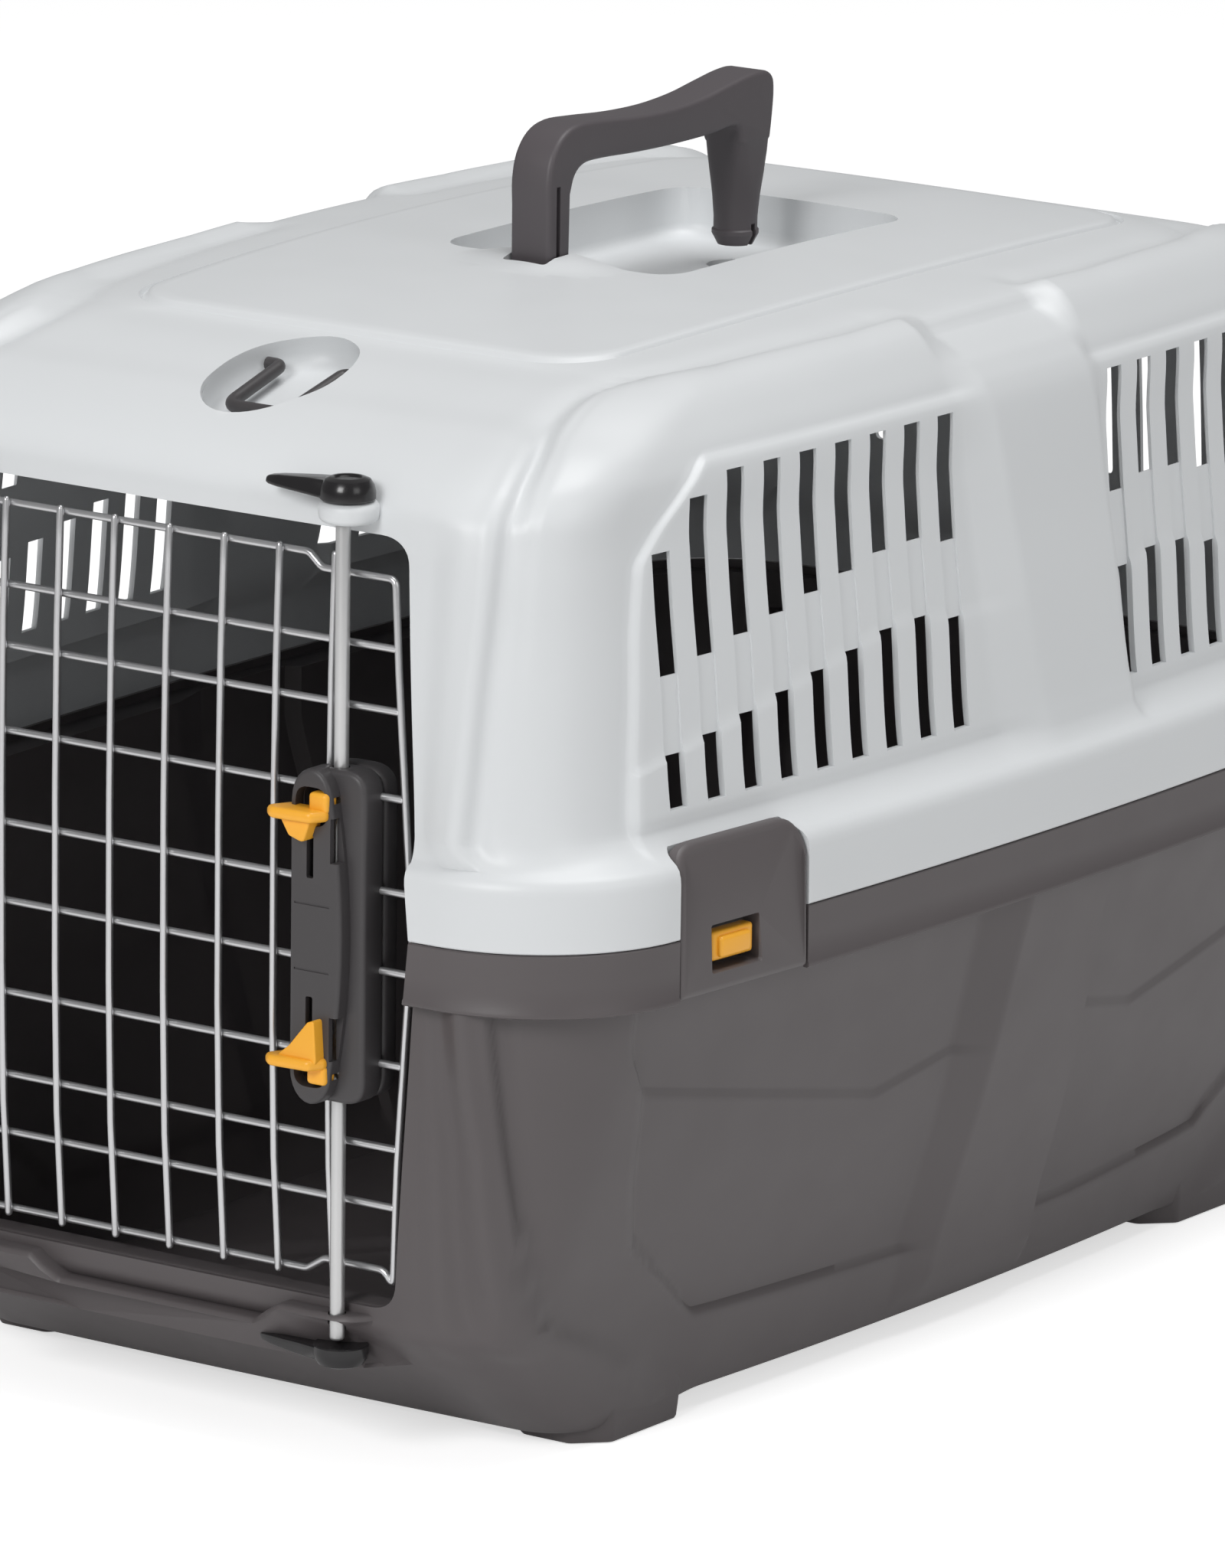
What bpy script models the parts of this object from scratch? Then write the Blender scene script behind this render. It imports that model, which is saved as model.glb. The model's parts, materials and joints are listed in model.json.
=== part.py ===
"""Pet transport carrier, 600 x 400 x 390 mm class: two moulded half shells with a wire door.

The door (front) faces -Y, the right side faces +X and Z = 0 is the ground under the feet.
Units are metres. Each moving piece has its origin on its joint's axis.
"""

import math

import bmesh
import bpy
from mathutils import Matrix, Vector

MM = 0.001

# Driving dimensions of the shells (half sizes; the bow makes the long sides slightly convex).
RIM_HALF_WIDTH = 200 * MM
RIM_HALF_LENGTH = 302 * MM
RIM_CORNER = 65 * MM
SIDE_BOW = 0.19  # metres of sagitta per square metre of length
END_BOW = 0.10
SEAM_Z = 199.5 * MM
GAP = 0.3 * MM
RIM_LOW_Z = 176.5 * MM
RIM_HIGH_Z = 228 * MM
FLOOR_Z = 8 * MM
WALL = 3 * MM
ROOF_EDGE_Z = 385 * MM
ROOF_HALF = (111 * MM, 187 * MM)

# Feet.
FOOT_X = (98 * MM, 140 * MM)
FOOT_Y = (157 * MM, 219 * MM)

# Door opening: a hexagon, widest at the seam, with a return flange behind its edge.
OPENING_HALF_MID = 119 * MM
OPENING_HALF_END = 107 * MM
OPENING_Z = (54 * MM, 342 * MM)
OPENING_CORNER = 12 * MM
FLANGE_Y = (-298 * MM, -276 * MM)
FLANGE_WALL = 4 * MM
OPENING_CUT_Y = (-330 * MM, -250 * MM)
ABOVE_ROOF_Z = 400 * MM
SEAT_FRONT_Y = -320 * MM
SEAT_PLAY = 0.5 * MM
SEATS_Z = ((40 * MM, 60 * MM), (336 * MM, 347 * MM))

# The round boss over the bolt that carries the top safety lever, and both levers.
LEVER_Y = -291 * MM
BOSS_Y = -289 * MM
BOSS_Z = (340 * MM, 352 * MM)
BOSS_R = 11 * MM
LEVER_DOME_R = (10 * MM, 7.5 * MM)
LEVER_TAIL = 34 * MM
LEVER_ROOT_HALF = 8.5 * MM
LEVER_TIP_HALF = 2 * MM
TOP_LEVER_Z = (352.3 * MM, 360.5 * MM)
BOTTOM_LEVER_Z = (37 * MM, 45.3 * MM)

# Door: vertical wires in the door plane, horizontal wires right behind them.
DOOR_Y = -291 * MM
WIRE_R = 1.4 * MM
WIRE_PITCH = 24.4 * MM
DOOR_HALF_MID = 108 * MM
DOOR_HALF_END = 98 * MM
DOOR_Z = (68 * MM, 330 * MM)
CROSS_WIRES_Z = [z * MM for z in (97, 119, 150, 184, 213, 247, 278, 300)]
UPRIGHTS_EACH_SIDE = 3
UPRIGHT_OVERHANG = 3 * MM
FRAME_CORNER = 8 * MM
HINGE_PINS_Z = {"lower_hinge_pin": (46 * MM, 107 * MM), "upper_hinge_pin": (290 * MM, 346 * MM)}
HINGE_X = -92 * MM
BOLT_X = 80 * MM
BOLT_Y = -293.4 * MM
BOLT_R = 2.7 * MM
BOLT_TIP_Z = (47 * MM, 345.5 * MM)
BOLT_ROOT = 22 * MM  # from the latch's middle
GRIP_OFFSET = 45 * MM
LATCH_MID_Z = 196 * MM
SPRING_R = 2.2 * MM
SPRING_WIRE_R = 0.45 * MM
SPRING_COILS = 6
SPRING_STEPS = 10
SPRING_PLAY = 0.2 * MM

# Latch housing on the door.
HOUSING_X = (68 * MM, 92 * MM)
HOUSING_FRONT = -305 * MM
HOUSING_HALF_HEIGHT = 61 * MM
HOUSING_CORNER = 10 * MM
HOUSING_WALL = 2 * MM
BACK_PLATE_DEPTH = 8 * MM
WEB_HALF = 3 * MM  # the web at mid height that both springs push against
TRIGGER_REACH = (26 * MM, 52 * MM)
TRIGGER_SLOT_X = 84 * MM
TRIGGER_SLOT_BACK = -297 * MM
COLLAR_X = (75 * MM, 83 * MM)
COLLAR_Y = (-301.5 * MM, -296.5 * MM)
COLLAR_HALF_Z = 5 * MM
WING_X = (59 * MM, 82 * MM)
WING_Y = (-309 * MM, -300 * MM)
WING_HALF_Z = 4 * MM

# Carrying handle and its recess in the roof.
HANDLE_HALF_X = 9 * MM
HANDLE_PIVOT = (0.0, -64 * MM, 383 * MM)
REAR_POST_Y = 62 * MM
REAR_POST_Z = (381 * MM, 425 * MM)
REAR_POST_R = (8.3 * MM, 8.9 * MM)
HANDLE_CHANNEL = (6 * MM, (-66 * MM, -50 * MM), 420 * MM)  # half width, span in y, top
HANDLE_BORE_R = 2.9 * MM
HANDLE_PIN_R = 2.5 * MM
HANDLE_PIN_HALF = 13 * MM
HANDLE_OUTLINE = [  # side view in (y, z), millimetres: front post, grip, rear stub, underside
    (-70.5, 378), (-71.5, 418), (-68, 431), (-60, 440), (-50, 443.5), (-20, 442), (10, 441.5),
    (40, 444), (62, 447), (70, 446), (73, 441), (71, 424), (68, 412), (56, 412),
    (50, 424), (46, 428), (0, 428), (-44, 428), (-53, 425), (-57.5, 418), (-58, 378),
]
RECESS_HALF_X = 52 * MM
RECESS_Y = (-56 * MM, 102 * MM)
RECESS_FLOOR_Z = 372 * MM
RECESS_CORNER = 16 * MM
RECESS_CUT = 40 * MM
PAN_FRONT_Y = -77 * MM
PAN_BELOW_FLOOR = 3 * MM
PAN_DEPTH = 19 * MM
SOCKET_HALF_X = 9.6 * MM
SOCKET_Y = (-75 * MM, -50 * MM)
SNAP_HOLE_R = 10.5 * MM
SNAP_HOLE_Z = (360 * MM, 380 * MM)

# Strap loops, each lying in an oval dish in the roof's sloping end.
DISH_PLACE = (223 * MM, 375 * MM)  # distance from the middle and height
DISH_SLOPE = 15  # degrees
DISH_RADII = (30 * MM, 38 * MM)
DISH_DEPTH = 10 * MM
DISH_WALL = 3 * MM
LOOP_HALF = 15 * MM
LOOP_Y = (-15 * MM, 20 * MM)
LOOP_BEND = 3 * MM
LOOP_FOOT = 6 * MM
LOOP_R = 2.6 * MM

# Side clips, four of them, each turned to follow the rim.
CLIP_Y = 204 * MM
CLIP_LENGTH = 71 * MM
CLIP_Z = (177.5 * MM, 232 * MM)
CLIP_DEPTH = 9 * MM
CLIP_CORNER = 12 * MM
POCKET_BACK = 2.2 * MM  # room behind, in front of, below and above a clip
POCKET_FRONT = 10 * MM
POCKET_BELOW = 4 * MM
POCKET_ABOVE = 1 * MM
CLIP_PIVOT_IN = 3 * MM  # the pin's distance from the clip's foot and from its back
CLIP_BORE_R = 1.8 * MM
CLIP_PIN_R = 1.5 * MM
CLIP_PIN_REACH = 3.5 * MM  # how far each end of the pin goes into the shell
CATCH_SHIFT = 4 * MM  # from the clip's middle towards the carrier's corner
CATCH_HALF_Y = 12 * MM
CATCH_Z = (187.5 * MM, 198.5 * MM)
WINDOW_HALF_Y = 13.5 * MM
WINDOW_Z = (184.5 * MM, 201.5 * MM)

# Side ventilation: two windows a side, each with two rows of slots.
SLOT_PITCH = 20.8 * MM
SLOT_FIRST_Y = 56 * MM
SLOT_WIDTH = 8 * MM
SLOT_COUNT = 9
SLOT_LOW_Z = 242 * MM
SLOT_TOP_Z = 357 * MM
SLOT_CUT_STEP = 6.5  # the slots beyond this one shorten under the window's cut corner
SLOT_CUT_FALL = 15 * MM
BAND_PEAK_STEP = 1.5
BAND_PEAK_Z = 304.5 * MM
BAND_HALF_HEIGHT = 12.5 * MM
BAND_FALL_OUT = 4.0 * MM
BAND_FALL_IN = 3.5 * MM
SLOT_CUT_X = (130 * MM, 200 * MM)
REAR_VENT_Y = (260 * MM, 310 * MM)
REAR_VENT_Z = (258 * MM, 328 * MM)

COLOURS = {
    "light_shell": ((0.67, 0.69, 0.70), 0.45, 0.0),
    "dark_shell": ((0.112, 0.100, 0.102), 0.5, 0.0),
    "dark_fitting": ((0.045, 0.040, 0.043), 0.45, 0.0),
    "black_fitting": ((0.012, 0.011, 0.012), 0.3, 0.0),
    "yellow_fitting": ((0.90, 0.42, 0.03), 0.4, 0.0),
    "wire": ((0.52, 0.52, 0.54), 0.3, 1.0),
}


def clear_scene():
    for obj in list(bpy.data.objects):
        bpy.data.objects.remove(obj, do_unlink=True)


def new_collection(name):
    collection = bpy.data.collections.new(name)
    bpy.context.scene.collection.children.link(collection)
    return collection


def material(piece_name, look):
    """A Principled material of the piece's own, from the shared colour list."""
    colour, roughness, metallic = COLOURS[look]
    made = bpy.data.materials.new(piece_name + "_" + look)
    made.use_nodes = True
    shader = made.node_tree.nodes["Principled BSDF"]
    shader.inputs["Base Color"].default_value = (*colour, 1.0)
    shader.inputs["Roughness"].default_value = roughness
    shader.inputs["Metallic"].default_value = metallic
    made.diffuse_color = (*colour, 1.0)
    return made


def add_part(name, mesh, look, origin=(0.0, 0.0, 0.0)):
    """A named piece from a mesh in world coordinates, with its origin moved to the given point."""
    mesh.transform(Matrix.Translation(-Vector(origin)))
    obj = bpy.data.objects.new(name, mesh)
    obj.location = origin
    obj.data.materials.clear()
    obj.data.materials.append(material(name, look))
    parts.objects.link(obj)
    return obj


def add_cutter(name, mesh):
    obj = bpy.data.objects.new(name, mesh)
    obj.display_type = "WIRE"
    obj.hide_render = True
    cutters.objects.link(obj)
    return obj


def mesh_from(bm, name):
    bmesh.ops.recalc_face_normals(bm, faces=bm.faces)
    mesh = bpy.data.meshes.new(name)
    bm.to_mesh(mesh)
    bm.free()
    return mesh


def box_mesh(name, low, high, turn=None):
    """A box between two corners, optionally moved by a matrix afterwards."""
    bm = bmesh.new()
    bmesh.ops.create_cube(bm, size=1.0)
    size = [h - l for l, h in zip(low, high)]
    middle = [(h + l) / 2 for l, h in zip(low, high)]
    bmesh.ops.scale(bm, vec=size, verts=bm.verts)
    bmesh.ops.translate(bm, vec=middle, verts=bm.verts)
    mesh = mesh_from(bm, name)
    if turn is not None:
        mesh.transform(turn)
    return mesh


def rod_mesh(name, start, end, radius, end_radius=None, sides=16):
    """A round rod or cone between two points."""
    start, end = Vector(start), Vector(end)
    bm = bmesh.new()
    bmesh.ops.create_cone(
        bm,
        cap_ends=True,
        segments=sides,
        radius1=radius,
        radius2=radius if end_radius is None else end_radius,
        depth=(end - start).length,
    )
    turn = Vector((0, 0, 1)).rotation_difference(end - start).to_matrix().to_4x4()
    mesh = mesh_from(bm, name)
    mesh.transform(Matrix.Translation((start + end) / 2) @ turn)
    return mesh


def plate_mesh(name, outline, thickness, frame):
    """A flat outline as a filled 2D curve, extruded both ways and placed by a matrix."""
    curve = bpy.data.curves.new(name, "CURVE")
    curve.dimensions = "2D"
    curve.fill_mode = "BOTH"
    curve.extrude = thickness / 2
    spline = curve.splines.new("POLY")
    spline.points.add(len(outline) - 1)
    for point, (x, y) in zip(spline.points, outline):
        point.co = (x, y, 0.0, 1.0)
    spline.use_cyclic_u = True
    return mesh_from_curve(curve, frame)


def tube_mesh(name, path, radius, resolution=2, cyclic=False):
    """A wire along a path of points."""
    curve = bpy.data.curves.new(name, "CURVE")
    curve.dimensions = "3D"
    curve.bevel_depth = radius
    curve.bevel_resolution = resolution
    curve.use_fill_caps = True
    spline = curve.splines.new("POLY")
    spline.points.add(len(path) - 1)
    for point, place in zip(spline.points, path):
        point.co = (*place, 1.0)
    spline.use_cyclic_u = cyclic
    return mesh_from_curve(curve, Matrix.Identity(4))


def mesh_from_curve(curve, frame):
    holder = bpy.data.objects.new(curve.name + "_curve", curve)
    bpy.context.scene.collection.objects.link(holder)
    graph = bpy.context.evaluated_depsgraph_get()
    mesh = bpy.data.meshes.new_from_object(holder.evaluated_get(graph))
    bpy.data.objects.remove(holder, do_unlink=True)
    bm = bmesh.new()
    bm.from_mesh(mesh)
    bmesh.ops.remove_doubles(bm, verts=bm.verts, dist=0.00001)
    bmesh.ops.recalc_face_normals(bm, faces=bm.faces)
    bm.to_mesh(mesh)
    bm.free()
    mesh.transform(frame)
    return mesh


def combine(obj, operation, cutter_mesh):
    """Adds or removes a cutter's volume with a Boolean modifier."""
    cutter = add_cutter(f"{obj.name}_{operation.lower()}_{len(obj.modifiers)}", cutter_mesh)
    modifier = obj.modifiers.new(cutter.name, "BOOLEAN")
    modifier.operation = operation
    modifier.object = cutter


def join_meshes(name, meshes):
    """Several closed meshes as one cutter."""
    bm = bmesh.new()
    for mesh in meshes:
        bm.from_mesh(mesh)
    joined = bpy.data.meshes.new(name)
    bm.to_mesh(joined)
    bm.free()
    return joined


def smooth(obj, angle=35):
    obj.data.shade_smooth()
    obj.data.set_sharp_from_angle(angle=math.radians(angle))


# ---------------------------------------------------------------- shell outlines


def quarter_outline(half_width, half_length, corner):
    """Points of the +X +Y quarter, from the middle of the side to the middle of the end."""
    centre_y = half_length - corner
    start = 0.0
    for _ in range(4):
        tangent_y = centre_y + corner * math.sin(start)
        start = math.atan(2 * SIDE_BOW * tangent_y)
    tangent_x = half_width - SIDE_BOW * tangent_y**2
    centre_x = tangent_x - corner * math.cos(start)
    points = []
    for i in range(3):
        y = tangent_y * i / 3
        points.append((half_width - SIDE_BOW * y * y, y))
    arc_steps = 6
    for i in range(arc_steps + 1):
        angle = start + (math.pi / 2 - start) * i / arc_steps
        points.append((centre_x + corner * math.cos(angle), centre_y + corner * math.sin(angle)))
    for i in (1, 2):
        x = centre_x * (1 - i / 2)
        points.append((x, half_length + END_BOW * (centre_x**2 - x * x)))
    return points


def outline(half_width, half_length, corner):
    """The closed plan outline, anticlockwise from +X; it bows out on all four sides."""
    quarter = quarter_outline(half_width, half_length, corner)
    end_y = quarter[-1][1]
    shift = half_length - end_y
    quarter = [(x, y + shift * (y / end_y) ** 8) for x, y in quarter]
    half = quarter + [(-x, y) for x, y in reversed(quarter[:-1])]
    return half + [(x, -y) for x, y in reversed(half[1:-1])]


def loft_mesh(name, levels):
    """A closed body through plan outlines; each level is (z, half width, half length, corner)."""
    bm = bmesh.new()
    rings = []
    for z, half_width, half_length, corner in levels:
        points = outline(half_width, half_length, corner)
        rings.append([bm.verts.new((x, y, z)) for x, y in points])
    for low, high in zip(rings, rings[1:]):
        for i in range(len(low)):
            j = (i + 1) % len(low)
            bm.faces.new((low[i], low[j], high[j], high[i]))
    bm.faces.new(rings[0])
    bm.faces.new(rings[-1])
    return mesh_from(bm, name)


def inset(levels, amount):
    """The same levels, drawn in by a wall thickness."""
    return [(z, w - amount, l - amount, c - amount / 2) for z, w, l, c in levels]


RIM = (RIM_HALF_WIDTH, RIM_HALF_LENGTH, RIM_CORNER)
RIM_INNER = (RIM_HALF_WIDTH - WALL, RIM_HALF_LENGTH - WALL, RIM_CORNER - WALL)

LOWER_WALL = [
    (FLOOR_Z, 144 * MM, 228 * MM, 22 * MM),
    (15 * MM, 147 * MM, 238 * MM, 26 * MM),
    (30 * MM, 150.5 * MM, 258 * MM, 32 * MM),
    (46 * MM, 154 * MM, 278 * MM, 38 * MM),
    (54 * MM, 157 * MM, 291 * MM, 42 * MM),
    (100 * MM, 171 * MM, 294 * MM, 50 * MM),
    (SEAM_Z - 4 * MM, 189 * MM, 296 * MM, 59 * MM),
]

UPPER_WALL = [
    (RIM_HIGH_Z + 4 * MM, 186 * MM, 296 * MM, 58 * MM),
    (345 * MM, 171.5 * MM, 286 * MM, 50 * MM),
    (356 * MM, 169.5 * MM, 277 * MM, 49 * MM),
    (368 * MM, 163 * MM, 250 * MM, 47 * MM),
    (378 * MM, 154 * MM, 220 * MM, 44 * MM),
    (ROOF_EDGE_Z, ROOF_HALF[0], ROOF_HALF[1], 28 * MM),
]


def opening_outline(grow=0.0):
    """Hexagonal door opening in X and Z, widest at the seam, with rounded outer corners."""
    low, high = OPENING_Z[0] - grow, OPENING_Z[1] + grow
    middle = OPENING_HALF_MID + grow
    end = OPENING_HALF_END + grow
    corner = OPENING_CORNER + grow
    right = []
    for i in range(4):
        angle = math.radians(-90 + 85 * i / 3)
        right.append((end - corner + corner * math.cos(angle), low + corner + corner * math.sin(angle)))
    right.append((middle, SEAM_Z))
    for i in range(4):
        angle = math.radians(5 + 85 * i / 3)
        right.append((end - corner + corner * math.cos(angle), high - corner + corner * math.sin(angle)))
    return right + [(-x, z) for x, z in reversed(right)]


def facing_front(y):
    """Places an outline drawn in (x, z) upright across the front, at the given y."""
    return Matrix.Translation((0, y, 0)) @ Matrix.Rotation(math.pi / 2, 4, "X")


def front_plate(name, points, y_low, y_high):
    return plate_mesh(name, points, y_high - y_low, facing_front((y_low + y_high) / 2))


# ---------------------------------------------------------------- shells


def clip_frame(side, end):
    """Frame of a clip: x outwards, y along the rim, z up; origin on the rim's outer face."""
    y = CLIP_Y * end
    x = RIM_HALF_WIDTH - SIDE_BOW * CLIP_Y**2
    lean = math.atan(2 * SIDE_BOW * CLIP_Y) * end
    place = Matrix.Translation((side * x, y, 0.0)) @ Matrix.Rotation(side * lean, 4, "Z")
    return place @ Matrix.Rotation(0.0 if side > 0 else math.pi, 4, "Z")


CORNERS = {
    "front_right": (1, -1),
    "front_left": (-1, -1),
    "rear_right": (1, 1),
    "rear_left": (-1, 1),
}


def clip_pocket(side, end):
    half = CLIP_LENGTH / 2 + GAP
    low = (-CLIP_DEPTH - POCKET_BACK, -half, CLIP_Z[0] - POCKET_BELOW)
    high = (POCKET_FRONT, half, CLIP_Z[1] + POCKET_ABOVE)
    return box_mesh("clip_pocket", low, high, clip_frame(side, end))


def band_height(step):
    """Lower and upper edge of the plain band between the two slot rows, slot by slot."""
    outwards = max(0.0, step - BAND_PEAK_STEP)
    inwards = max(0.0, BAND_PEAK_STEP - step)
    middle = BAND_PEAK_Z - BAND_FALL_OUT * outwards - BAND_FALL_IN * inwards
    return middle - BAND_HALF_HEIGHT, middle + BAND_HALF_HEIGHT


def slot_spans():
    """(y, low z, high z) of each slot of one window, counted from the middle pillar outwards."""
    spans = []
    for step in range(SLOT_COUNT):
        y = SLOT_FIRST_Y + SLOT_PITCH * step
        band_low, band_high = band_height(step)
        top = SLOT_TOP_Z - max(0.0, step - SLOT_CUT_STEP) * SLOT_CUT_FALL
        spans.append((y, SLOT_LOW_Z, band_low))
        spans.append((y, band_high, top))
    return spans


def side_slots():
    boxes = []
    for side in (1, -1):
        for end in (1, -1):
            for y, low, high in slot_spans():
                near = (side * SLOT_CUT_X[0], end * y - SLOT_WIDTH / 2, low)
                far = (side * SLOT_CUT_X[1], end * y + SLOT_WIDTH / 2, high)
                corners = list(zip(near, far))
                boxes.append(box_mesh("slot", [min(c) for c in corners], [max(c) for c in corners]))
    return join_meshes("side_slots", boxes)


def rear_slots():
    boxes = []
    for i in range(SLOT_COUNT):
        x = (i - SLOT_COUNT // 2) * SLOT_PITCH
        low = (x - SLOT_WIDTH / 2, REAR_VENT_Y[0], REAR_VENT_Z[0])
        high = (x + SLOT_WIDTH / 2, REAR_VENT_Y[1], REAR_VENT_Z[1])
        boxes.append(box_mesh("slot", low, high))
    return join_meshes("rear_slots", boxes)


def loop_frame(end):
    """Frame of a strap loop's recess: on the roof's slope, y pointing up the slope."""
    slope = math.radians(DISH_SLOPE)
    place = Matrix.Translation((0.0, end * DISH_PLACE[0], DISH_PLACE[1]))
    turn = Matrix.Rotation(0.0 if end < 0 else math.pi, 4, "Z")
    return place @ turn @ Matrix.Rotation(slope, 4, "X")


def oval_mesh(name, radius_x, radius_y, low, high, frame):
    bm = bmesh.new()
    bmesh.ops.create_cone(bm, cap_ends=True, segments=24, radius1=1, radius2=1, depth=1)
    bmesh.ops.scale(bm, vec=(radius_x, radius_y, high - low), verts=bm.verts)
    bmesh.ops.translate(bm, vec=(0, 0, (high + low) / 2), verts=bm.verts)
    mesh = mesh_from(bm, name)
    mesh.transform(frame)
    return mesh


def rounded_rectangle(x_low, x_high, y_low, y_high, corner, steps=4):
    points = []
    centres = (
        (x_high - corner, y_high - corner, 0),
        (x_low + corner, y_high - corner, 90),
        (x_low + corner, y_low + corner, 180),
        (x_high - corner, y_low + corner, 270),
    )
    for cx, cy, first in centres:
        for i in range(steps + 1):
            angle = math.radians(first + 90 * i / steps)
            points.append((cx + corner * math.cos(angle), cy + corner * math.sin(angle)))
    return points


def lower_shell():
    levels = inset(LOWER_WALL, WALL)
    inner = [(FLOOR_Z + WALL, *levels[0][1:])] + levels[1:]
    top_wall = inner[-1][1:]
    ledge = SEAM_Z - GAP / 2
    under = SEAM_Z - 4 * MM
    rim = [(ledge, *top_wall), (ledge, *RIM), (RIM_LOW_Z, *RIM), (RIM_LOW_Z, *RIM_INNER), (under, *RIM_INNER)]
    obj = add_part("lower_shell", loft_mesh("lower_shell", inner + rim + LOWER_WALL[::-1]), "dark_shell")
    for x in (1, -1):
        for y in (1, -1):
            combine(obj, "UNION", foot_mesh(x, y))
    ring = front_plate("ring", opening_outline(FLANGE_WALL), *FLANGE_Y)
    combine(obj, "UNION", clipped(ring, 0.0, ledge))
    combine(obj, "DIFFERENCE", front_plate("opening", opening_outline(), *OPENING_CUT_Y))
    combine(obj, "DIFFERENCE", keeper_slots())
    for side, end in CORNERS.values():
        combine(obj, "DIFFERENCE", clip_pocket(side, end))
    return obj


def clipped(mesh, z_low, z_high):
    """The part of a closed mesh between two heights."""
    bm = bmesh.new()
    bm.from_mesh(mesh)
    for height, keep_above in ((z_low, True), (z_high, False)):
        normal = (0, 0, -1) if keep_above else (0, 0, 1)
        geometry = list(bm.verts) + list(bm.edges) + list(bm.faces)
        cut = bmesh.ops.bisect_plane(
            bm, geom=geometry, plane_co=(0, 0, height), plane_no=normal, clear_outer=True
        )
        edges = [g for g in cut["geom_cut"] if isinstance(g, bmesh.types.BMEdge)]
        bmesh.ops.holes_fill(bm, edges=edges)
    return mesh_from(bm, mesh.name)


def foot_mesh(x_sign, y_sign):
    """A moulded foot, wider where it meets the tub."""
    bm = bmesh.new()
    bmesh.ops.create_cube(bm, size=1.0)
    for vert in bm.verts:
        low = vert.co.z < 0
        spread = 0.0 if low else 5 * MM
        x = FOOT_X[1] + spread if vert.co.x > 0 else FOOT_X[0] - spread
        y = FOOT_Y[1] + spread if vert.co.y > 0 else FOOT_Y[0] - spread
        vert.co = (x_sign * x, y_sign * y, 0.0 if low else 16 * MM)
    return mesh_from(bm, "foot")


def keeper_slots():
    """The bolts' seats in the flange and the seats of the hinge pins."""
    reach = BOLT_R + SEAT_PLAY
    boxes = []
    for x in (BOLT_X, HINGE_X):
        front = SEAT_FRONT_Y if x > 0 else BOLT_Y - reach
        for low, high in SEATS_Z:
            boxes.append(box_mesh("seat", (x - reach, front, low), (x + reach, BOLT_Y + reach, high)))
    return join_meshes("seats", boxes)


def across_pivot(name, half, radius):
    """A round bar across the carrier on the handle's pivot axis."""
    return rod_mesh(name, (-half, *HANDLE_PIVOT[1:]), (half, *HANDLE_PIVOT[1:]), radius, sides=12)


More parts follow.
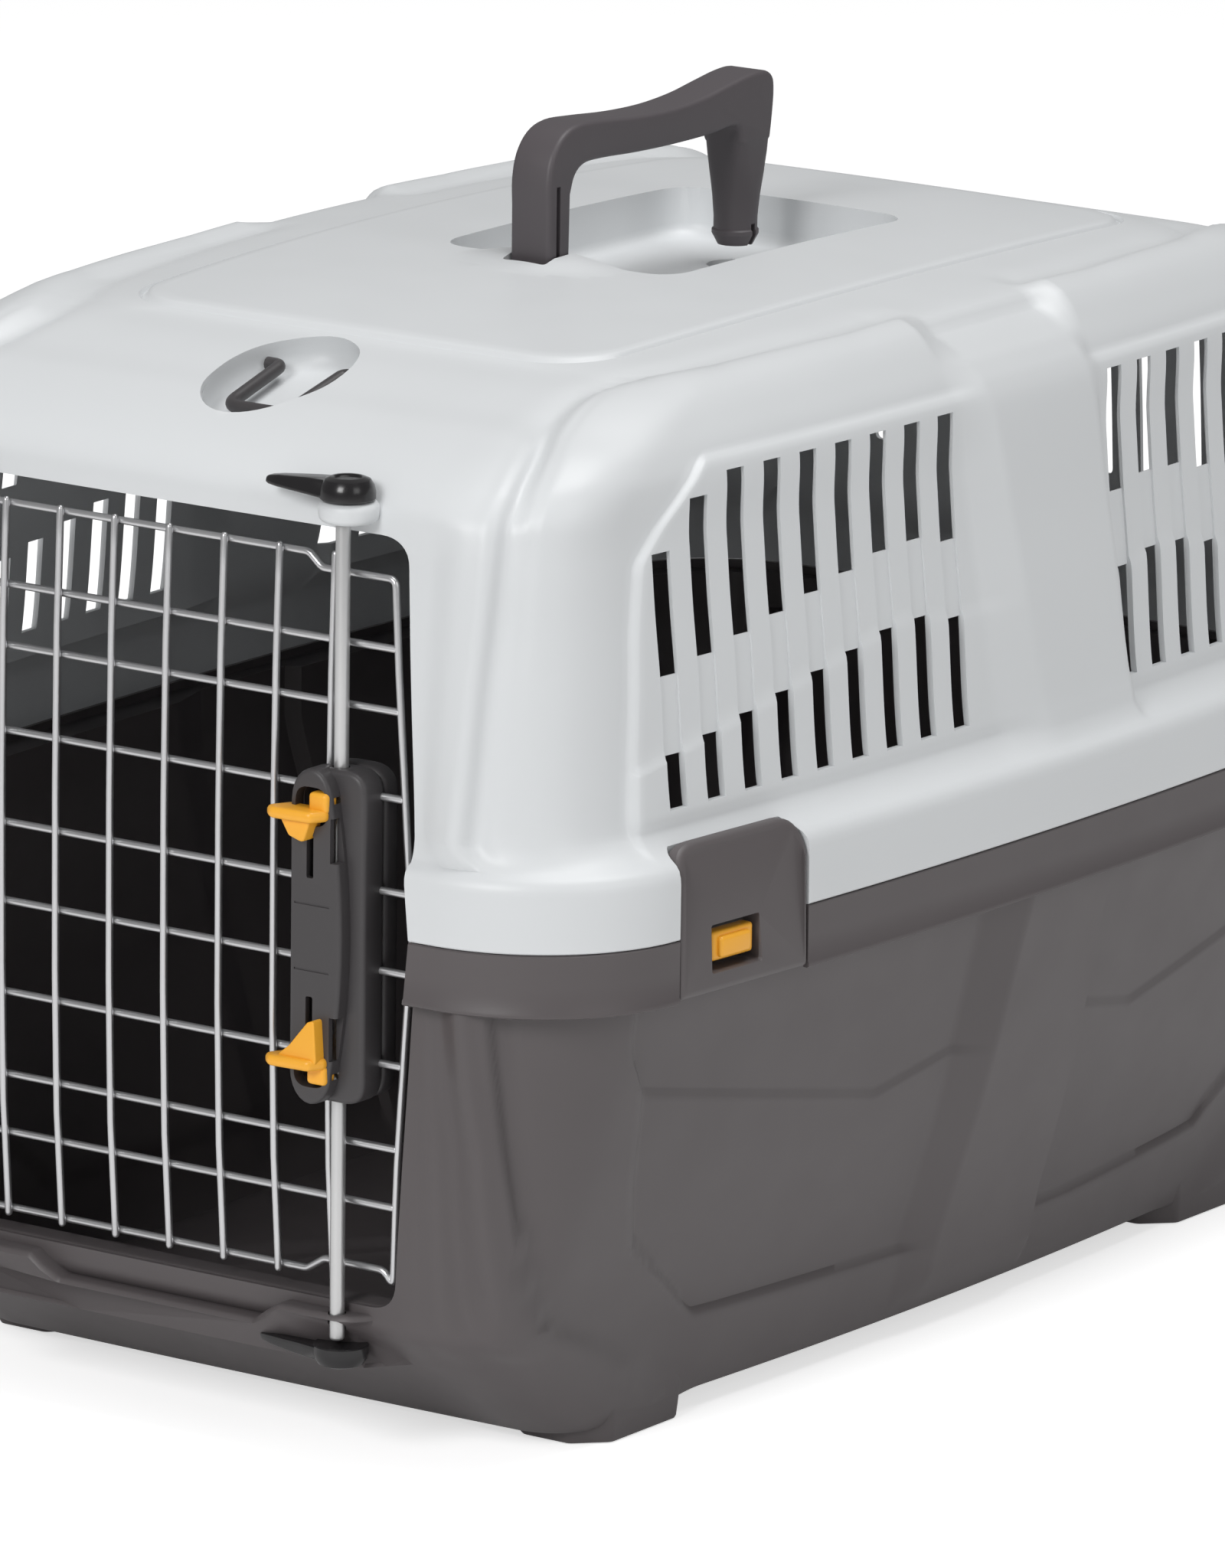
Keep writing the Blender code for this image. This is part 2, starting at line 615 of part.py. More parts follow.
def upper_shell():
    inner = inset(UPPER_WALL, WALL)
    inner = [(z - (0 if i < 1 else WALL * min(1.0, i / 4)), *rest) for i, (z, *rest) in enumerate(inner)]
    foot = SEAM_Z + GAP / 2
    ledge = RIM_HIGH_Z - WALL
    tongue_in = inner[0][1:]
    tongue_out = UPPER_WALL[0][1:]
    rim = [
        (foot, *tongue_in),
        (foot, *tongue_out),
        (ledge, *tongue_out),
        (ledge, *RIM_INNER),
        (foot, *RIM_INNER),
        (foot, *RIM),
        (RIM_HIGH_Z - 3 * MM, RIM[0] - 1 * MM, RIM[1] - 1 * MM, RIM[2] - 1 * MM),
        (RIM_HIGH_Z, RIM[0] - 4 * MM, RIM[1] - 3 * MM, RIM[2] - 3 * MM),
    ]
    crown = [
        (ROOF_EDGE_Z + 1.2 * MM, ROOF_HALF[0] - 1.5 * MM, ROOF_HALF[1] - 1.5 * MM, 27 * MM),
        (ROOF_EDGE_Z + 5 * MM, 62 * MM, 110 * MM, 20 * MM),
    ]
    under_crown = [(z - WALL - 1 * MM, w, l, c) for z, w, l, c in crown[::-1]][:1]
    levels = under_crown + inner[::-1] + rim + UPPER_WALL + crown
    obj = add_part("upper_shell", loft_mesh("upper_shell", levels), "light_shell")
    ring = front_plate("ring", opening_outline(FLANGE_WALL), *FLANGE_Y)
    combine(obj, "UNION", clipped(ring, foot, ABOVE_ROOF_Z))
    boss = rod_mesh("boss", (BOLT_X, BOSS_Y, BOSS_Z[0]), (BOLT_X, BOSS_Y, BOSS_Z[1]), BOSS_R)
    combine(obj, "UNION", boss)
    pan_half = RECESS_HALF_X + WALL
    pan = plate_mesh(
        "pan",
        rounded_rectangle(-pan_half, pan_half, PAN_FRONT_Y, RECESS_Y[1] + WALL, RECESS_CORNER + 2 * MM),
        PAN_DEPTH,
        Matrix.Translation((0, 0, RECESS_FLOOR_Z - PAN_BELOW_FLOOR + PAN_DEPTH / 2)),
    )
    combine(obj, "UNION", pan)
    pan_radii = [radius + DISH_WALL for radius in DISH_RADII]
    for end in (-1, 1):
        dish_pan = oval_mesh("dish_pan", *pan_radii, -DISH_DEPTH - DISH_WALL, -DISH_WALL / 2, loop_frame(end))
        combine(obj, "UNION", dish_pan)
    combine(obj, "DIFFERENCE", front_plate("opening", opening_outline(), *OPENING_CUT_Y))
    combine(obj, "DIFFERENCE", keeper_slots())
    pocket = plate_mesh(
        "recess",
        rounded_rectangle(-RECESS_HALF_X, RECESS_HALF_X, *RECESS_Y, RECESS_CORNER),
        RECESS_CUT,
        Matrix.Translation((0, 0, RECESS_FLOOR_Z + RECESS_CUT / 2)),
    )
    combine(obj, "DIFFERENCE", pocket)
    socket = box_mesh(
        "socket",
        (-SOCKET_HALF_X, SOCKET_Y[0], RECESS_FLOOR_Z),
        (SOCKET_HALF_X, SOCKET_Y[1], ABOVE_ROOF_Z),
    )
    combine(obj, "DIFFERENCE", socket)
    combine(obj, "DIFFERENCE", across_pivot("pin_bore", HANDLE_PIN_HALF + 1 * MM, HANDLE_BORE_R))
    snap = rod_mesh(
        "snap_hole",
        (0, REAR_POST_Y, SNAP_HOLE_Z[0]),
        (0, REAR_POST_Y, SNAP_HOLE_Z[1]),
        SNAP_HOLE_R,
        sides=20,
    )
    combine(obj, "DIFFERENCE", snap)
    for end in (-1, 1):
        dish = oval_mesh("dish", *DISH_RADII, -DISH_DEPTH, DISH_DEPTH * 1.5, loop_frame(end))
        combine(obj, "DIFFERENCE", dish)
    combine(obj, "DIFFERENCE", side_slots())
    combine(obj, "DIFFERENCE", rear_slots())
    for side, end in CORNERS.values():
        combine(obj, "DIFFERENCE", clip_pocket(side, end))
    return obj


# ---------------------------------------------------------------- side clips


def side_clip(name, side, end):
    frame = clip_frame(side, end)
    half = CLIP_LENGTH / 2
    points = [(-half, CLIP_Z[0]), (half, CLIP_Z[0])]
    for side_sign, first in ((1, 0), (-1, 90)):
        centre_y = side_sign * (half - CLIP_CORNER)
        centre_z = CLIP_Z[1] - CLIP_CORNER
        for i in range(4):
            angle = math.radians(first + 90 * i / 3)
            across, up = CLIP_CORNER * math.cos(angle), CLIP_CORNER * math.sin(angle)
            points.append((centre_y + across, centre_z + up))
    upright = Matrix.Rotation(math.pi / 2, 4, "Z") @ Matrix.Rotation(math.pi / 2, 4, "X")
    place = frame @ Matrix.Translation((-CLIP_DEPTH / 2, 0, 0)) @ upright
    pivot_x, pivot_z = -CLIP_DEPTH + CLIP_PIVOT_IN, CLIP_Z[0] + CLIP_PIVOT_IN
    pivot = frame @ Vector((pivot_x, 0, pivot_z))
    obj = add_part(name + "_clip", plate_mesh("clip", points, CLIP_DEPTH, place), "dark_shell", pivot)
    shift = side * end * CATCH_SHIFT
    window = box_mesh(
        "window",
        (-CLIP_DEPTH - MM, shift - WINDOW_HALF_Y, WINDOW_Z[0]),
        (MM, shift + WINDOW_HALF_Y, WINDOW_Z[1]),
        frame,
    )
    combine(obj, "DIFFERENCE", window)

    def along_pivot(bar_name, reach, radius):
        ends = [frame @ Vector((pivot_x, y, pivot_z)) for y in (-reach, reach)]
        return rod_mesh(bar_name, *ends, radius, sides=10)

    combine(obj, "DIFFERENCE", along_pivot("bore", CLIP_LENGTH, CLIP_BORE_R))
    pin = along_pivot("pin", half + CLIP_PIN_REACH, CLIP_PIN_R)
    smooth(add_part(name + "_clip_pin", pin, "wire", pivot))
    tab = box_mesh(
        "tab",
        (-CLIP_DEPTH + 1 * MM, shift - CATCH_HALF_Y, CATCH_Z[0]),
        (-1.5 * MM, shift + CATCH_HALF_Y, CATCH_Z[1]),
        frame,
    )
    catch_place = frame @ Vector((-2 * MM, shift, sum(CATCH_Z) / 2))
    catch = add_part(name + "_catch", tab, "yellow_fitting", catch_place)
    bevel = catch.modifiers.new("rounded", "BEVEL")
    bevel.width = 1.2 * MM
    bevel.segments = 1
    return obj


# ---------------------------------------------------------------- door


def door_half_width(z):
    """The frame follows the opening: widest at the seam."""
    if z > SEAM_Z:
        share = (z - SEAM_Z) / (DOOR_Z[1] - SEAM_Z)
    else:
        share = (SEAM_Z - z) / (SEAM_Z - DOOR_Z[0])
    return DOOR_HALF_MID + (DOOR_HALF_END - DOOR_HALF_MID) * share


def door_frame_path():
    low, high = DOOR_Z
    corner = FRAME_CORNER
    right = []
    for i in range(4):
        angle = math.radians(-90 + 85 * i / 3)
        cx = door_half_width(low) - corner
        right.append((cx + corner * math.cos(angle), low + corner + corner * math.sin(angle)))
    right.append((DOOR_HALF_MID, SEAM_Z))
    for i in range(4):
        angle = math.radians(5 + 85 * i / 3)
        cx = door_half_width(high) - corner
        right.append((cx + corner * math.cos(angle), high - corner + corner * math.sin(angle)))
    return right + [(-x, z) for x, z in reversed(right)]


def door_grid():
    """The welded wire door: frame and cross wires behind, vertical wires in front."""
    behind = DOOR_Y + 2 * WIRE_R - 0.5 * MM
    path = [(x, behind, z) for x, z in door_frame_path()]
    frame = tube_mesh("door_frame", path, WIRE_R, resolution=1, cyclic=True)
    obj = add_part("door_grid", frame, "wire")
    for z in CROSS_WIRES_Z:
        reach = door_half_width(z)
        wire = rod_mesh("cross", (-reach, behind, z), (reach, behind, z), WIRE_R, sides=6)
        combine(obj, "UNION", wire)
    for i in range(-UPRIGHTS_EACH_SIDE, UPRIGHTS_EACH_SIDE + 1):
        x = i * WIRE_PITCH
        low, high = DOOR_Z[0] - UPRIGHT_OVERHANG, DOOR_Z[1] + UPRIGHT_OVERHANG
        wire = rod_mesh("upright", (x, DOOR_Y, low), (x, DOOR_Y, high), WIRE_R, sides=6)
        combine(obj, "UNION", wire)
    obj.data.transform(Matrix.Translation((-HINGE_X, -BOLT_Y, 0)))
    obj.location = (HINGE_X, BOLT_Y, 0)
    return obj


def hinge_pins():
    pivot = (HINGE_X, BOLT_Y, 0)
    for name, (low, high) in HINGE_PINS_Z.items():
        rod = rod_mesh(name, (HINGE_X, BOLT_Y, low), (HINGE_X, BOLT_Y, high), BOLT_R, sides=12)
        smooth(add_part(name, rod, "wire", pivot))


def housing_outline(grow=0.0):
    """Upright rounded bar in (x, z)."""
    return rounded_rectangle(
        HOUSING_X[0] - grow,
        HOUSING_X[1] + grow,
        LATCH_MID_Z - HOUSING_HALF_HEIGHT - grow,
        LATCH_MID_Z + HOUSING_HALF_HEIGHT + grow,
        HOUSING_CORNER + grow,
    )


def housing_cavity(sign):
    """The hollow above or below the web."""
    ends = sorted((LATCH_MID_Z + sign * WEB_HALF, LATCH_MID_Z + sign * (HOUSING_HALF_HEIGHT - HOUSING_WALL)))
    return rounded_rectangle(
        HOUSING_X[0] + HOUSING_WALL, HOUSING_X[1] - HOUSING_WALL, *ends, HOUSING_CORNER - HOUSING_WALL
    )


def latch():
    """Latch cover in front of the wires, clamp plate behind them, and what is inside."""
    back = DOOR_Y - WIRE_R - GAP
    cover = add_part(
        "latch_cover", front_plate("cover", housing_outline(), HOUSING_FRONT, back), "dark_fitting"
    )
    for sign in (1, -1):
        cavity = front_plate("cavity", housing_cavity(sign), HOUSING_FRONT + HOUSING_WALL, back + MM)
        combine(cover, "DIFFERENCE", cavity)
        z_low, z_high = sorted(LATCH_MID_Z + sign * reach for reach in TRIGGER_REACH)
        slot = box_mesh(
            "slot",
            (HOUSING_X[0] - MM, HOUSING_FRONT - MM, z_low),
            (TRIGGER_SLOT_X, TRIGGER_SLOT_BACK, z_high),
        )
        combine(cover, "DIFFERENCE", slot)
        inside = (BOLT_X, BOLT_Y, LATCH_MID_Z + sign * (HOUSING_HALF_HEIGHT - 2 * HOUSING_WALL))
        outside = (BOLT_X, BOLT_Y, LATCH_MID_Z + sign * (HOUSING_HALF_HEIGHT + HOUSING_WALL))
        combine(cover, "DIFFERENCE", rod_mesh("bore", inside, outside, BOLT_R + SEAT_PLAY, sides=12))
    plate_front = DOOR_Y + 3 * WIRE_R + GAP
    plate = front_plate("plate", housing_outline(MM), plate_front, plate_front + BACK_PLATE_DEPTH)
    add_part("latch_back_plate", plate, "dark_fitting")
    for name, sign in (("upper", 1), ("lower", -1)):
        bolt(name, sign)


def bolt(name, sign):
    """One lock rod with its trigger and its spring; sign is +1 above the middle, -1 below."""
    tip = BOLT_TIP_Z[1] if sign > 0 else BOLT_TIP_Z[0]
    root = LATCH_MID_Z + sign * BOLT_ROOT
    grip_z = LATCH_MID_Z + sign * GRIP_OFFSET
    pivot = (BOLT_X, BOLT_Y, grip_z)
    rod = rod_mesh(name, (BOLT_X, BOLT_Y, root), (BOLT_X, BOLT_Y, tip), BOLT_R, sides=12)
    smooth(add_part(name + "_lock_rod", rod, "wire", pivot))
    collar = box_mesh(
        "collar",
        (COLLAR_X[0], COLLAR_Y[0], grip_z - COLLAR_HALF_Z),
        (COLLAR_X[1], COLLAR_Y[1], grip_z + COLLAR_HALF_Z),
    )
    trigger = add_part(name + "_trigger", collar, "yellow_fitting", pivot)
    wing = box_mesh(
        "wing",
        (WING_X[0], WING_Y[0], grip_z - WING_HALF_Z),
        (WING_X[1], WING_Y[1], grip_z + WING_HALF_Z),
    )
    combine(trigger, "UNION", wing)
    start = LATCH_MID_Z + sign * (WEB_HALF + SPRING_WIRE_R + SPRING_PLAY)
    end = LATCH_MID_Z + sign * (BOLT_ROOT - SPRING_WIRE_R - SPRING_PLAY)
    count = SPRING_COILS * SPRING_STEPS
    path = []
    for i in range(count + 1):
        turn = 2 * math.pi * i / SPRING_STEPS
        x = BOLT_X + SPRING_R * math.cos(turn)
        y = BOLT_Y + SPRING_R * math.sin(turn)
        path.append((x, y, start + (end - start) * i / count))
    spring = tube_mesh("spring", path, SPRING_WIRE_R, resolution=0)
    add_part(name + "_latch_spring", spring, "wire", (BOLT_X, BOLT_Y, LATCH_MID_Z))


def safety_lever(name, low, high):
    """A turn lever with a pointed tail, on a vertical axis over the bolt's seat."""
    pivot = (BOLT_X, LEVER_Y, low)
    dome = rod_mesh("dome", pivot, (BOLT_X, LEVER_Y, high), *LEVER_DOME_R, sides=20)
    obj = add_part(name, dome, "black_fitting", pivot)
    shoulder = -LEVER_TAIL + LEVER_TIP_HALF
    tail = plate_mesh(
        "tail",
        [
            (0, -LEVER_ROOT_HALF),
            (0, LEVER_ROOT_HALF),
            (shoulder, LEVER_TIP_HALF),
            (-LEVER_TAIL, 0),
            (shoulder, -LEVER_TIP_HALF),
        ],
        (high - low) * 0.7,
        Matrix.Translation((BOLT_X, LEVER_Y, (low + high) / 2)),
    )
    combine(obj, "UNION", tail)
    return obj


# ---------------------------------------------------------------- handle and strap loops


def handle():
    upright = Matrix.Rotation(math.pi / 2, 4, "Z") @ Matrix.Rotation(math.pi / 2, 4, "X")
    points = [(y * MM, z * MM) for y, z in HANDLE_OUTLINE]
    grip = plate_mesh("handle", points, 2 * HANDLE_HALF_X, upright)
    obj = add_part("handle", grip, "dark_fitting", HANDLE_PIVOT)
    post = rod_mesh("post", (0, REAR_POST_Y, REAR_POST_Z[0]), (0, REAR_POST_Y, REAR_POST_Z[1]), *REAR_POST_R)
    combine(obj, "UNION", post)
    half, (front, back), top = HANDLE_CHANNEL
    channel = box_mesh("channel", (-half, front, RECESS_FLOOR_Z - 2 * MM), (half, back, top))
    combine(obj, "DIFFERENCE", channel)
    combine(obj, "DIFFERENCE", across_pivot("bore", 20 * MM, HANDLE_BORE_R))
    pin = across_pivot("pin", HANDLE_PIN_HALF, HANDLE_PIN_R)
    smooth(add_part("handle_pin", pin, "wire", HANDLE_PIVOT))


def strap_loop(name, end):
    """A U-shaped bar lying in its oval recess; its two feet turn at the upper end."""
    frame = loop_frame(end)
    low, top = LOOP_Y
    half, bend = LOOP_HALF, LOOP_BEND
    depth = -DISH_DEPTH / 2
    path = [(-half - LOOP_FOOT, top, depth), (-half, top, depth), (-half, low + bend, depth)]
    path += [(-half + bend, low, depth), (half - bend, low, depth)]
    path += [(half, low + bend, depth), (half, top, depth), (half + LOOP_FOOT, top, depth)]
    world = [frame @ Vector(point) for point in path]
    loop = tube_mesh(name, world, LOOP_R, resolution=1)
    smooth(add_part(name, loop, "dark_fitting", frame @ Vector((0, top, depth))))


clear_scene()
parts = new_collection("pet_transport_carrier")
cutters = new_collection("cutters")
cutters.hide_render = True

lower_shell()
upper_shell()
for corner_name, (side_sign, end_sign) in CORNERS.items():
    side_clip(corner_name, side_sign, end_sign)
door_grid()
hinge_pins()
latch()
safety_lever("top_safety_lever", *TOP_LEVER_Z)
safety_lever("bottom_safety_lever", *BOTTOM_LEVER_Z)
handle()
strap_loop("front_strap_loop", -1)
strap_loop("rear_strap_loop", 1)
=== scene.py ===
"""Visual model of the pet transport carrier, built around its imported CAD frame.

Front (door) faces -Y, right side faces +X, ground at Z = 0. Sizes below are in millimetres and are
scaled to metres when a mesh is made.
"""

import json
import math

import bmesh
import bpy
import numpy as np
from mathutils import Matrix, Vector


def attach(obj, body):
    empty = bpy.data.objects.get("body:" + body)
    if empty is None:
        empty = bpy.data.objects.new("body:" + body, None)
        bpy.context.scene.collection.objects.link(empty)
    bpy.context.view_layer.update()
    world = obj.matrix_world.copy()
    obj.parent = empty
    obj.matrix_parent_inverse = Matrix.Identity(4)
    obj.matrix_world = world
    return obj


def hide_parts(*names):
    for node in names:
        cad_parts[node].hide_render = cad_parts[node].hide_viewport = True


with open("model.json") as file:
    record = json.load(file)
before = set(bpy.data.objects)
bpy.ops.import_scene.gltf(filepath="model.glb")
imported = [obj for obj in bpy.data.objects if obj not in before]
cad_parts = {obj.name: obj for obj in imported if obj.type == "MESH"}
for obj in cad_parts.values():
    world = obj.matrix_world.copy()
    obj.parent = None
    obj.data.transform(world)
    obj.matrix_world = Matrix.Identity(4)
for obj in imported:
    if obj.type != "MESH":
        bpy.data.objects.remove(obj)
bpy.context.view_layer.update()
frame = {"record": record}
MM = 0.001

# ------------------------------------------------------------------ driving sizes (mm)
RIM = (200.0, 302.0, 65.0)
SIDE_BOW = 0.00019
END_BOW = 0.0001
SEAM = 199.5
SEAM_GAP = 0.35
WALL = 2.0
ROOF_EDGE = 385.0
ROOF_HALF = (111.0, 187.0)
ROOF_RISE = 4.5
ROOF_CROWN = 3.2
RECESS_X = 52.0
RECESS_Y = (-56.0, 102.0)
RECESS_FLOOR = 373.0
SLOT_PITCH = 20.8
SLOT_FIRST = 56.0
SLOT_WIDTH = 9.8
SLOT_COUNT = 9
SLOT_LOW = 242.0
SLOT_HIGH = 357.0
BAND_LOW = 286.8
BAND_HEIGHT = 28.1
BAND_ROW = 286.0
BOLT_X = 80.0
BOLT_Y = -293.4
HINGE_X = -92.0
PIN_RADIUS = 2.7
PIN_HOLE_RADIUS = 3.2
SEAT_RADIUS = 3.3
UPPER_SEAT = (336.0, 346.6)
LOWER_SEAT = (46.0, 62.0)
ROD_ENDS = {1: 345.5, -1: 47.0}
HINGE_RODS = {"lower_hinge": (46.0, 107.0), "upper_hinge": (290.0, 346.0)}
LEVER_BASES = {1: 352.3, -1: 45.3}
BOSS_Y, BOSS_RADIUS = -290.0, 11.0
BOSS_LOW, BOSS_HIGH = 344.0, 352.0
SNAP_Y, SNAP_RADIUS = 62.0, 10.5
VENT_HALF, VENT_LOW, VENT_HIGH = 3.8, 258.0, 328.0
DOME_DEPTH = 0.45
WIRE_R = 1.4
WIRE_PITCH = 24.4
LATCH_MID = 196.0

# Base form of each shell's wall: height, half width, half length and corner radius.
UPPER_LEVELS = [
    (228, 186.5, 297, 57.5),
    (237, 182.5, 296, 56),
    (245, 181, 295.3, 56),
    (287, 177.5, 292.5, 54),
    (311, 174.8, 290.5, 53),
    (345, 171.5, 286, 50),
    (355, 169.5, 278, 49),
    (362, 166, 266, 48),
    (369, 161.5, 248, 47),
    (375, 157, 231, 46),
    (379, 152.5, 216, 44),
    (381.3, 147, 205, 42),
    (382.5, 140, 197, 39),
    (383.6, 128, 191, 34),
    (385, 111, 187, 28),
]
LOWER_LEVELS = [
    (8, 143, 228, 22),
    (15, 146.5, 238, 26),
    (30, 150.5, 258, 32),
    (43, 153.5, 275, 37),
    (54, 157, 289, 42),
    (100, 171, 293, 50),
    (150, 183, 295, 57),
    (178, 189.5, 296, 60),
    (200, 192, 296, 60),
]


LEDGE_LOW, LEDGE_HIGH = 227.2, 236.0
PANEL_RISE = 0.9
RIM_INSIDE = 196.0
LIP_PROUD, LIP_WIDTH, LIP_BACK = 1.6, 3.0, -276.0
DISH_RADII = (24.5, 35.0)
DISH_WALL = 2.3

CORNERS = {"front_right": (1, -1), "front_left": (-1, -1), "rear_right": (1, 1), "rear_left": (-1, 1)}
CLIP_Y = 204.0
CLIP_HALF = 35.5
CLIP_LOW, CLIP_HIGH = 177.5, 232.0
CATCH_SHIFT = 4.0
WINDOW_HALF, WINDOW_LOW, WINDOW_HIGH = 13.5, 184.5, 201.5
AXLE_X, AXLE_Z, AXLE_RADIUS, AXLE_PAST = -6.0, 180.5, 1.5, 3.5
COVER_FRONT = -305.0
COVER_BACK = -292.8
COVER_HALF = 61.0
LEVER_Y = -291.0
HANDLE_PIVOT = (-64.0, 383.0)
HANDLE_HALF = 9.0
LOOP_Y, LOOP_Z, LOOP_SLOPE = 223.0, 375.0, 15.0
LOOP_DEPTH, LOOP_RADIUS = -5.5, 2.5
COIL_TURNS, COIL_RADIUS, COIL_WIRE = 6, 2.2, 0.45


# ------------------------------------------------------------------ numbers
def smooth(x, low, high):
    """0 below low, 1 above high, smooth between (either order)."""
    t = np.clip((np.asarray(x, float) - low) / (high - low), 0.0, 1.0)
    return t * t * (3 - 2 * t)


def along(x, *pairs):
    """Straight-line interpolation through (x, value) pairs."""
    xs, ys = zip(*pairs)
    return np.interp(x, xs, ys)


def monotone(levels, z):
    """Half width, half length and corner at z, by monotone cubics through the levels."""
    table = np.array(levels, float)
    heights = table[:, 0]
    z = np.clip(z, heights[0], heights[-1])
    step = np.diff(heights)
    place = np.clip(np.searchsorted(heights, z, side="right") - 1, 0, len(step) - 1)
    t = (z - heights[place]) / step[place]
    found = []
    for column in (1, 2, 3):
        value = table[:, column]
        slope = np.diff(value) / step
        tangent = np.zeros(len(value))
        for i in range(1, len(value) - 1):
            before, after = slope[i - 1], slope[i]
            if before * after > 0:
                first, second = 2 * step[i] + step[i - 1], step[i] + 2 * step[i - 1]
                tangent[i] = (first + second) / (first / before + second / after)
        tangent[0], tangent[-1] = slope[0], slope[-1]
        found.append(
            (2 * t**3 - 3 * t**2 + 1) * value[place]
            + (t**3 - 2 * t**2 + t) * step[place] * tangent[place]
            + (3 * t**2 - 2 * t**3) * value[place + 1]
            + (t**3 - t**2) * step[place] * tangent[place + 1]
        )
    return found


def plan_at(levels, z):
    """Half width, half length and corner of a shell's wall at one height."""
    return [v.item() for v in monotone(levels, np.array([float(z)]))]


def swell(offset, width):
    """A bump of height 1 where the offset is 0, gone at about twice the width."""
    return np.exp(-((offset / width) ** 2))


def corner_centre(w, l, c):
    """Centre of the corner arc that is tangent to the bowed side."""
    cy = l - c
    start = np.zeros_like(cy)
    for _ in range(4):
        tangent_y = cy + c * np.sin(start)
        start = np.arctan(2 * SIDE_BOW * tangent_y)
    cx = w - SIDE_BOW * tangent_y**2 - c * np.cos(start)
    return cx, cy, tangent_y


def stretched(y, l, cx):
    """The ends bow out a little while the length at the middle stays l."""
    end = l + END_BOW * cx**2
    return y + (l - end) * (np.abs(y) / end) ** 8 * np.sign(y)


def side_x(y, w, l, c):
    """x of the plan outline on the side, at y, also round the first half of the corner."""
    cx, cy, tangent_y = corner_centre(w, l, c)
    on_arc = cx + np.sqrt(np.maximum(c**2 - np.maximum(np.abs(y) - cy, 0) ** 2, 0))
    return np.where(np.abs(y) <= tangent_y, w - SIDE_BOW * y**2, on_arc)


NEARLY_STRAIGHT = 3.1
AXIS_HOLE = 0.02
ARC_SPLIT = math.radians(42)
END_STEPS = 26
ARC_STEPS = 38
SIDE_START = END_STEPS + ARC_STEPS
# Whether the pillar and the windows hold at each of the break lines across the side.
PILLAR_AT = (0, 0, 0, 0, 1, 1, 0, 0, 0, 0)
WINDOW_AT = (0, 0, 1, 1, 1, 1, 1, 1, 0, 0)


def half_outline(w, l, c, side_y):
    """Right half of the outline, front middle to rear middle; side_y are the side's own y values."""
    cx, cy, _ = corner_centre(w, l, c)
    xs, ys = [], []
    for i in range(END_STEPS):
        x = cx * i / END_STEPS
        xs.append(x)
        ys.append(-(l + END_BOW * (cx**2 - x**2)))
    for i in range(ARC_STEPS):
        angle = math.pi / 2 + (ARC_SPLIT - math.pi / 2) * i / ARC_STEPS
        xs.append(cx + c * math.cos(angle))
        ys.append(-(cy + c * math.sin(angle)))
    middle_x = [side_x(y, w, l, c) for y in side_y]
    xs = xs + middle_x + xs[::-1]
    ys = ys + list(side_y) + [-y for y in ys[::-1]]
    y = stretched(np.array(ys), l, cx)
    return np.array(xs), y


def side_columns(breaks, counts):
    """y values across the side: each span between two break lines is divided evenly."""
    values = []
    for low, high, count in zip(breaks, breaks[1:], counts):
        for i in range(count):
            values.append(low + (high - low) * i / count)
    values.append(breaks[-1])
    return values


def split_y(w, l, c):
    """The side's end, part of the way round the corner."""
    _, cy, _ = corner_centre(w, l, c)
    return cy + c * math.sin(ARC_SPLIT)


def normals(points):
    """Outward unit normals of a (row, column, 3) grid of points."""
    across = np.gradient(points, axis=1)
    up = np.gradient(points, axis=0)
    normal = np.cross(across, up)
    length = np.linalg.norm(normal, axis=2, keepdims=True)
    return normal / np.maximum(length, 1e-9)


# ------------------------------------------------------------------ meshes
def new_object(name, mesh):
    """An object for a mesh, a light or a camera, in the scene."""
    obj = bpy.data.objects.new(name, mesh)
    bpy.context.scene.collection.objects.link(obj)
    return obj


def mesh_of(name, verts, faces):
    """A mesh from points in millimetres."""
    mesh = bpy.data.meshes.new(name)
    mesh.from_pydata([tuple(np.asarray(v, float) * MM) for v in verts], [], faces)
    mesh.validate()
    return mesh


def outward(mesh):
    """The mesh with doubled points merged and every face pointing out."""
    bm = bmesh.new()
    bm.from_mesh(mesh)
    bmesh.ops.remove_doubles(bm, verts=bm.verts, dist=0.000002)
    bmesh.ops.recalc_face_normals(bm, faces=bm.faces)
    bm.to_mesh(mesh)
    bm.free()
    return mesh


def closed_rings(name, rings):
    """A closed body from half rings (right side, front to rear), mirrored to the left.

    The rings run from the middle of the outer top or bottom round to the middle of the inner one."""
    verts, index = [], []
    for ring in rings:
        count = len(ring)
        first = len(verts)
        verts.extend(ring)
        verts.extend(ring[1:-1] * (-1, 1, 1))
        mirror = [first] + list(range(first + count, first + 2 * count - 2)) + [first + count - 1]
        index.append(list(range(first, first + count)) + mirror[-2:0:-1])
    faces = []
    for low, high in zip(index, index[1:]):
        for i in range(len(low)):
            j = (i + 1) % len(low)
            faces.append((low[i], low[j], high[j], high[i]))
    faces.append(tuple(index[0]))
    faces.append(tuple(index[-1]))
    return outward(mesh_of(name, verts, faces))


def loft(name, rings, cyclic=False):
    """A body through rings of equal point count; open ends are capped."""
    verts, faces = [], []
    size = len(rings[0])
    for ring in rings:
        verts.extend(ring)
    last = len(rings) if cyclic else len(rings) - 1
    for r in range(last):
        s = (r + 1) % len(rings)
        for i in range(size):
            j = (i + 1) % size
            faces.append((r * size + i, r * size + j, s * size + j, s * size + i))
    if not cyclic:
        faces.append(tuple(range(size)))
        faces.append(tuple(range((len(rings) - 1) * size, len(rings) * size)))
    return outward(mesh_of(name, verts, faces))


